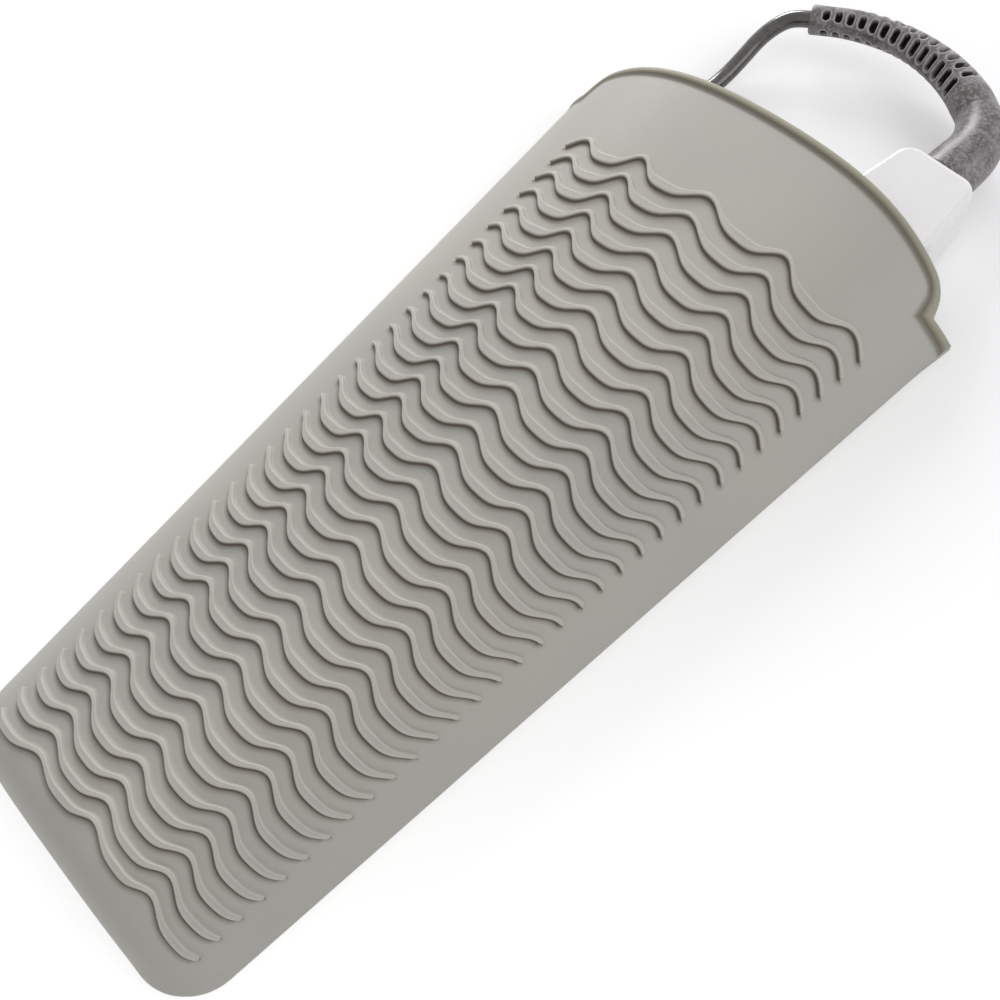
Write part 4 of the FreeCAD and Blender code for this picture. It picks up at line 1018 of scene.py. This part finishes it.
def cord_piece():
    """The whole cord as one curve, from the guard's tip to the plug, and where it leaves the guard."""
    u, v, heading = guard_axis(GUARD_LENGTH)
    tip = from_tool(u, v, TOOL_MIDDLE)
    turn = from_tool(u + LEAD_EXIT_RUN * math.cos(heading), v + LEAD_EXIT_RUN * math.sin(heading),
                     TOOL_MIDDLE)
    start = from_tool(HANK_CENTRE_U - HANK_FOLDS[0], HANK_UPPER_V, HANK_FIRST_Z)
    end = from_tool(HANK_CENTRE_U - HANK_FOLDS[0], HANK_LOWER_V, HANK_FIRST_Z + HANK_CLIMB)
    route = [tip, turn] + LEAD_ROUTE + [start] + hank_points() + [end]
    route += [from_tool(*point) for point in TAIL_ROUTE]
    curve = bpy.data.curves.new("mains_cord", "CURVE")
    curve.dimensions = "3D"
    spline = curve.splines.new("NURBS")
    spline.points.add(len(route) - 1)
    for point, where in zip(spline.points, place(route)):
        point.co = (*where, 1.0)
    spline.order_u = CORD_ORDER
    spline.use_endpoint_u = True
    spline.resolution_u = CORD_STEPS
    curve.bevel_depth = CORD_DIAMETER / 2 * MM
    curve.bevel_resolution = CORD_STEPS
    curve.materials.append(MATERIALS["cord_sheath"])
    piece = add_object("mains_cord", curve)
    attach(piece, "tool")
    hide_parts("cord_lead", "cord_hank", "cord_tail")
    return piece, tuple(place([tip])[0])


# Tie, as in part.py
TIE_REACH = 23.65
TIE_LOW, TIE_HIGH = 3.5, 15.8
TIE_THICKNESS = 1.0
TIE_V = (194.0, 208.0)
TIE_CORNER = 2.4
TIE_CORNER_STEPS = 6
# The strap's section: shares of its thickness, with distances from its edge or shares of its width
TIE_EDGE = [(0.08, 0.5), (0.02, 0.15), (0.4, 0.0), (0.82, 0.12), (1.0, 0.5)]
TIE_FACE = [(0.92, 0.3), (0.96, 0.5), (0.92, 0.7)]


def tie_piece():
    """A strap round the hank's waist, with soft edges."""
    corners = []
    for sx, sz, first in ((1, 1, 0.0), (-1, 1, 0.5), (-1, -1, 1.0), (1, -1, 1.5)):
        for k in range(TIE_CORNER_STEPS + 1):
            corners.append((sx, sz, math.pi * (first + k / TIE_CORNER_STEPS / 2)))

    def outline(extra):
        ring = []
        for sx, sz, turn in corners:
            radius = TIE_CORNER + extra
            centre_u = HANK_CENTRE_U + sx * (TIE_REACH - TIE_CORNER)
            centre_z = (TIE_HIGH - TIE_CORNER) if sz > 0 else (TIE_LOW + TIE_CORNER)
            ring.append((centre_u + radius * math.cos(turn), centre_z + radius * math.sin(turn)))
        return ring

    low, high = TIE_V
    section = [(share, low + edge) for share, edge in TIE_EDGE]
    section += [(share, blend(low, high, across)) for share, across in TIE_FACE]
    section += [(share, high - edge) for share, edge in reversed(TIE_EDGE)]
    rings = [[from_tool(u, v, z) for u, z in outline(extra * TIE_THICKNESS)] for extra, v in section]
    rings.append(rings[0])
    piece = mesh_piece("hank_strap", np.concatenate(rings), ring_faces(len(rings), len(corners)), "tool",
                       "tie_fabric")
    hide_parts("hank_tie")


# Floor and lamps, in metres and watts: each lamp's name, place, size and power
FLOOR_REACH = 3.0
# The floor's own glow grows with the distance from a point beside the sleeve
FLOOR_DIM_AT = (0.03, 0.16, 0.0)
FLOOR_SPAN = (0.08, 0.42)
FLOOR_GLOW = (0.3, 0.68)
SKY_LIGHT = 0.5
LAMPS = [("key", (-0.88, 0.9, 0.44), 0.5, 9.0), ("fill", (0.9, 0.6, 0.7), 0.9, 3.4)]
WHITE = (1.0, 1.0, 1.0, 1.0)


def seen_rays(tree):
    """One for rays that show the floor and the background, and zero for rays that only light."""
    path = tree.nodes.new("ShaderNodeLightPath")
    seen = path.outputs["Is Camera Ray"]
    for kind in ("Is Glossy Ray", "Is Transmission Ray"):
        either = tree.nodes.new("ShaderNodeMath")
        either.operation = "MAXIMUM"
        tree.links.new(seen, either.inputs[0])
        tree.links.new(path.outputs[kind], either.inputs[1])
        seen = either.outputs[0]
    return seen


def floor():
    """A pale floor that also glows in what is seen of it, so that it runs into the background."""
    mesh = bpy.data.meshes.new("floor")
    corners = [(x * FLOOR_REACH, y * FLOOR_REACH, 0) for x, y in ((-1, -1), (1, -1), (1, 1), (-1, 1))]
    mesh.from_pydata(corners, [], [(0, 1, 2, 3)])
    n = Nodes("floor")
    speck = n.noise(300.0, detail=2.0)
    apart = n.node("ShaderNodeVectorMath", operation="DISTANCE")
    n.put(apart.inputs[0], n.place)
    n.put(apart.inputs[1], FLOOR_DIM_AT)
    glow = n.math("MULTIPLY", seen_rays(n.tree), n.span(apart.outputs["Value"], FLOOR_SPAN, FLOOR_GLOW))
    rough = n.span(speck, GRAIN_SPAN, (0.85, 0.95))
    mesh.materials.append(n.finish(linear(238, 238, 238), rough, Specular_IOR_Level=0.0,
                                   Emission_Color=WHITE, Emission_Strength=glow))
    made = add_object("floor", mesh)


def backdrop_light():
    """A background that looks white and lights softly."""
    world = bpy.data.worlds.new("studio")
    world.use_nodes = True
    tree = world.node_tree
    tree.nodes.clear()
    white, soft = tree.nodes.new("ShaderNodeBackground"), tree.nodes.new("ShaderNodeBackground")
    for node, strength in ((white, 1.0), (soft, SKY_LIGHT)):
        node.inputs["Color"].default_value = WHITE
        node.inputs["Strength"].default_value = strength
    mix = tree.nodes.new("ShaderNodeMixShader")
    output = tree.nodes.new("ShaderNodeOutputWorld")
    for socket, source in zip(mix.inputs, (seen_rays(tree), soft.outputs[0], white.outputs[0])):
        tree.links.new(source, socket)
    tree.links.new(mix.outputs[0], output.inputs[0])
    bpy.context.scene.world = world


def area_light(name, at, size, power):
    """A round lamp that points at the frame's origin."""
    data = bpy.data.lights.new(name, "AREA")
    data.shape = "DISK"
    data.size = size
    data.energy = power
    lamp = add_object(name, data)
    lamp.location = at
    lamp.rotation_euler = (-Vector(at)).to_track_quat("-Z", "Y").to_euler()


def camera():
    data = bpy.data.cameras.new("camera")
    data.sensor_width = CAMERA_SENSOR
    data.lens = CAMERA_LENS
    data.clip_start = CAMERA_NEAR
    made = add_object("camera", data)
    turn = Matrix((CAMERA_RIGHT, CAMERA_UP, CAMERA_BACK)).transposed()
    made.matrix_world = Matrix.Translation(CAMERA_AT) @ turn.to_4x4()
    bpy.context.scene.camera = made


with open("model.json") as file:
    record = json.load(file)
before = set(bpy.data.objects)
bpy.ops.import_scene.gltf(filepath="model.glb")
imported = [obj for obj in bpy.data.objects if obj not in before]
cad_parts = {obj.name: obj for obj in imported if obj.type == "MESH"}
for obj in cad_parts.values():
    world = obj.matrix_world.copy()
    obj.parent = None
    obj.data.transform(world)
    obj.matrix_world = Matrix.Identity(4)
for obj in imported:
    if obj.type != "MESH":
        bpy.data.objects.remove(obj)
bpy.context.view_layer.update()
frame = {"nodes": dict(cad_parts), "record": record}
camera()
dress_cad_nodes(frame)
cord, cord_exit = cord_piece()
sleeve_front()
sleeve_back()
guard_piece()
tie_piece()
floor()
backdrop_light()
for lamp in LAMPS:
    area_light(*lamp)
bpy.context.scene.view_settings.view_transform = "Standard"
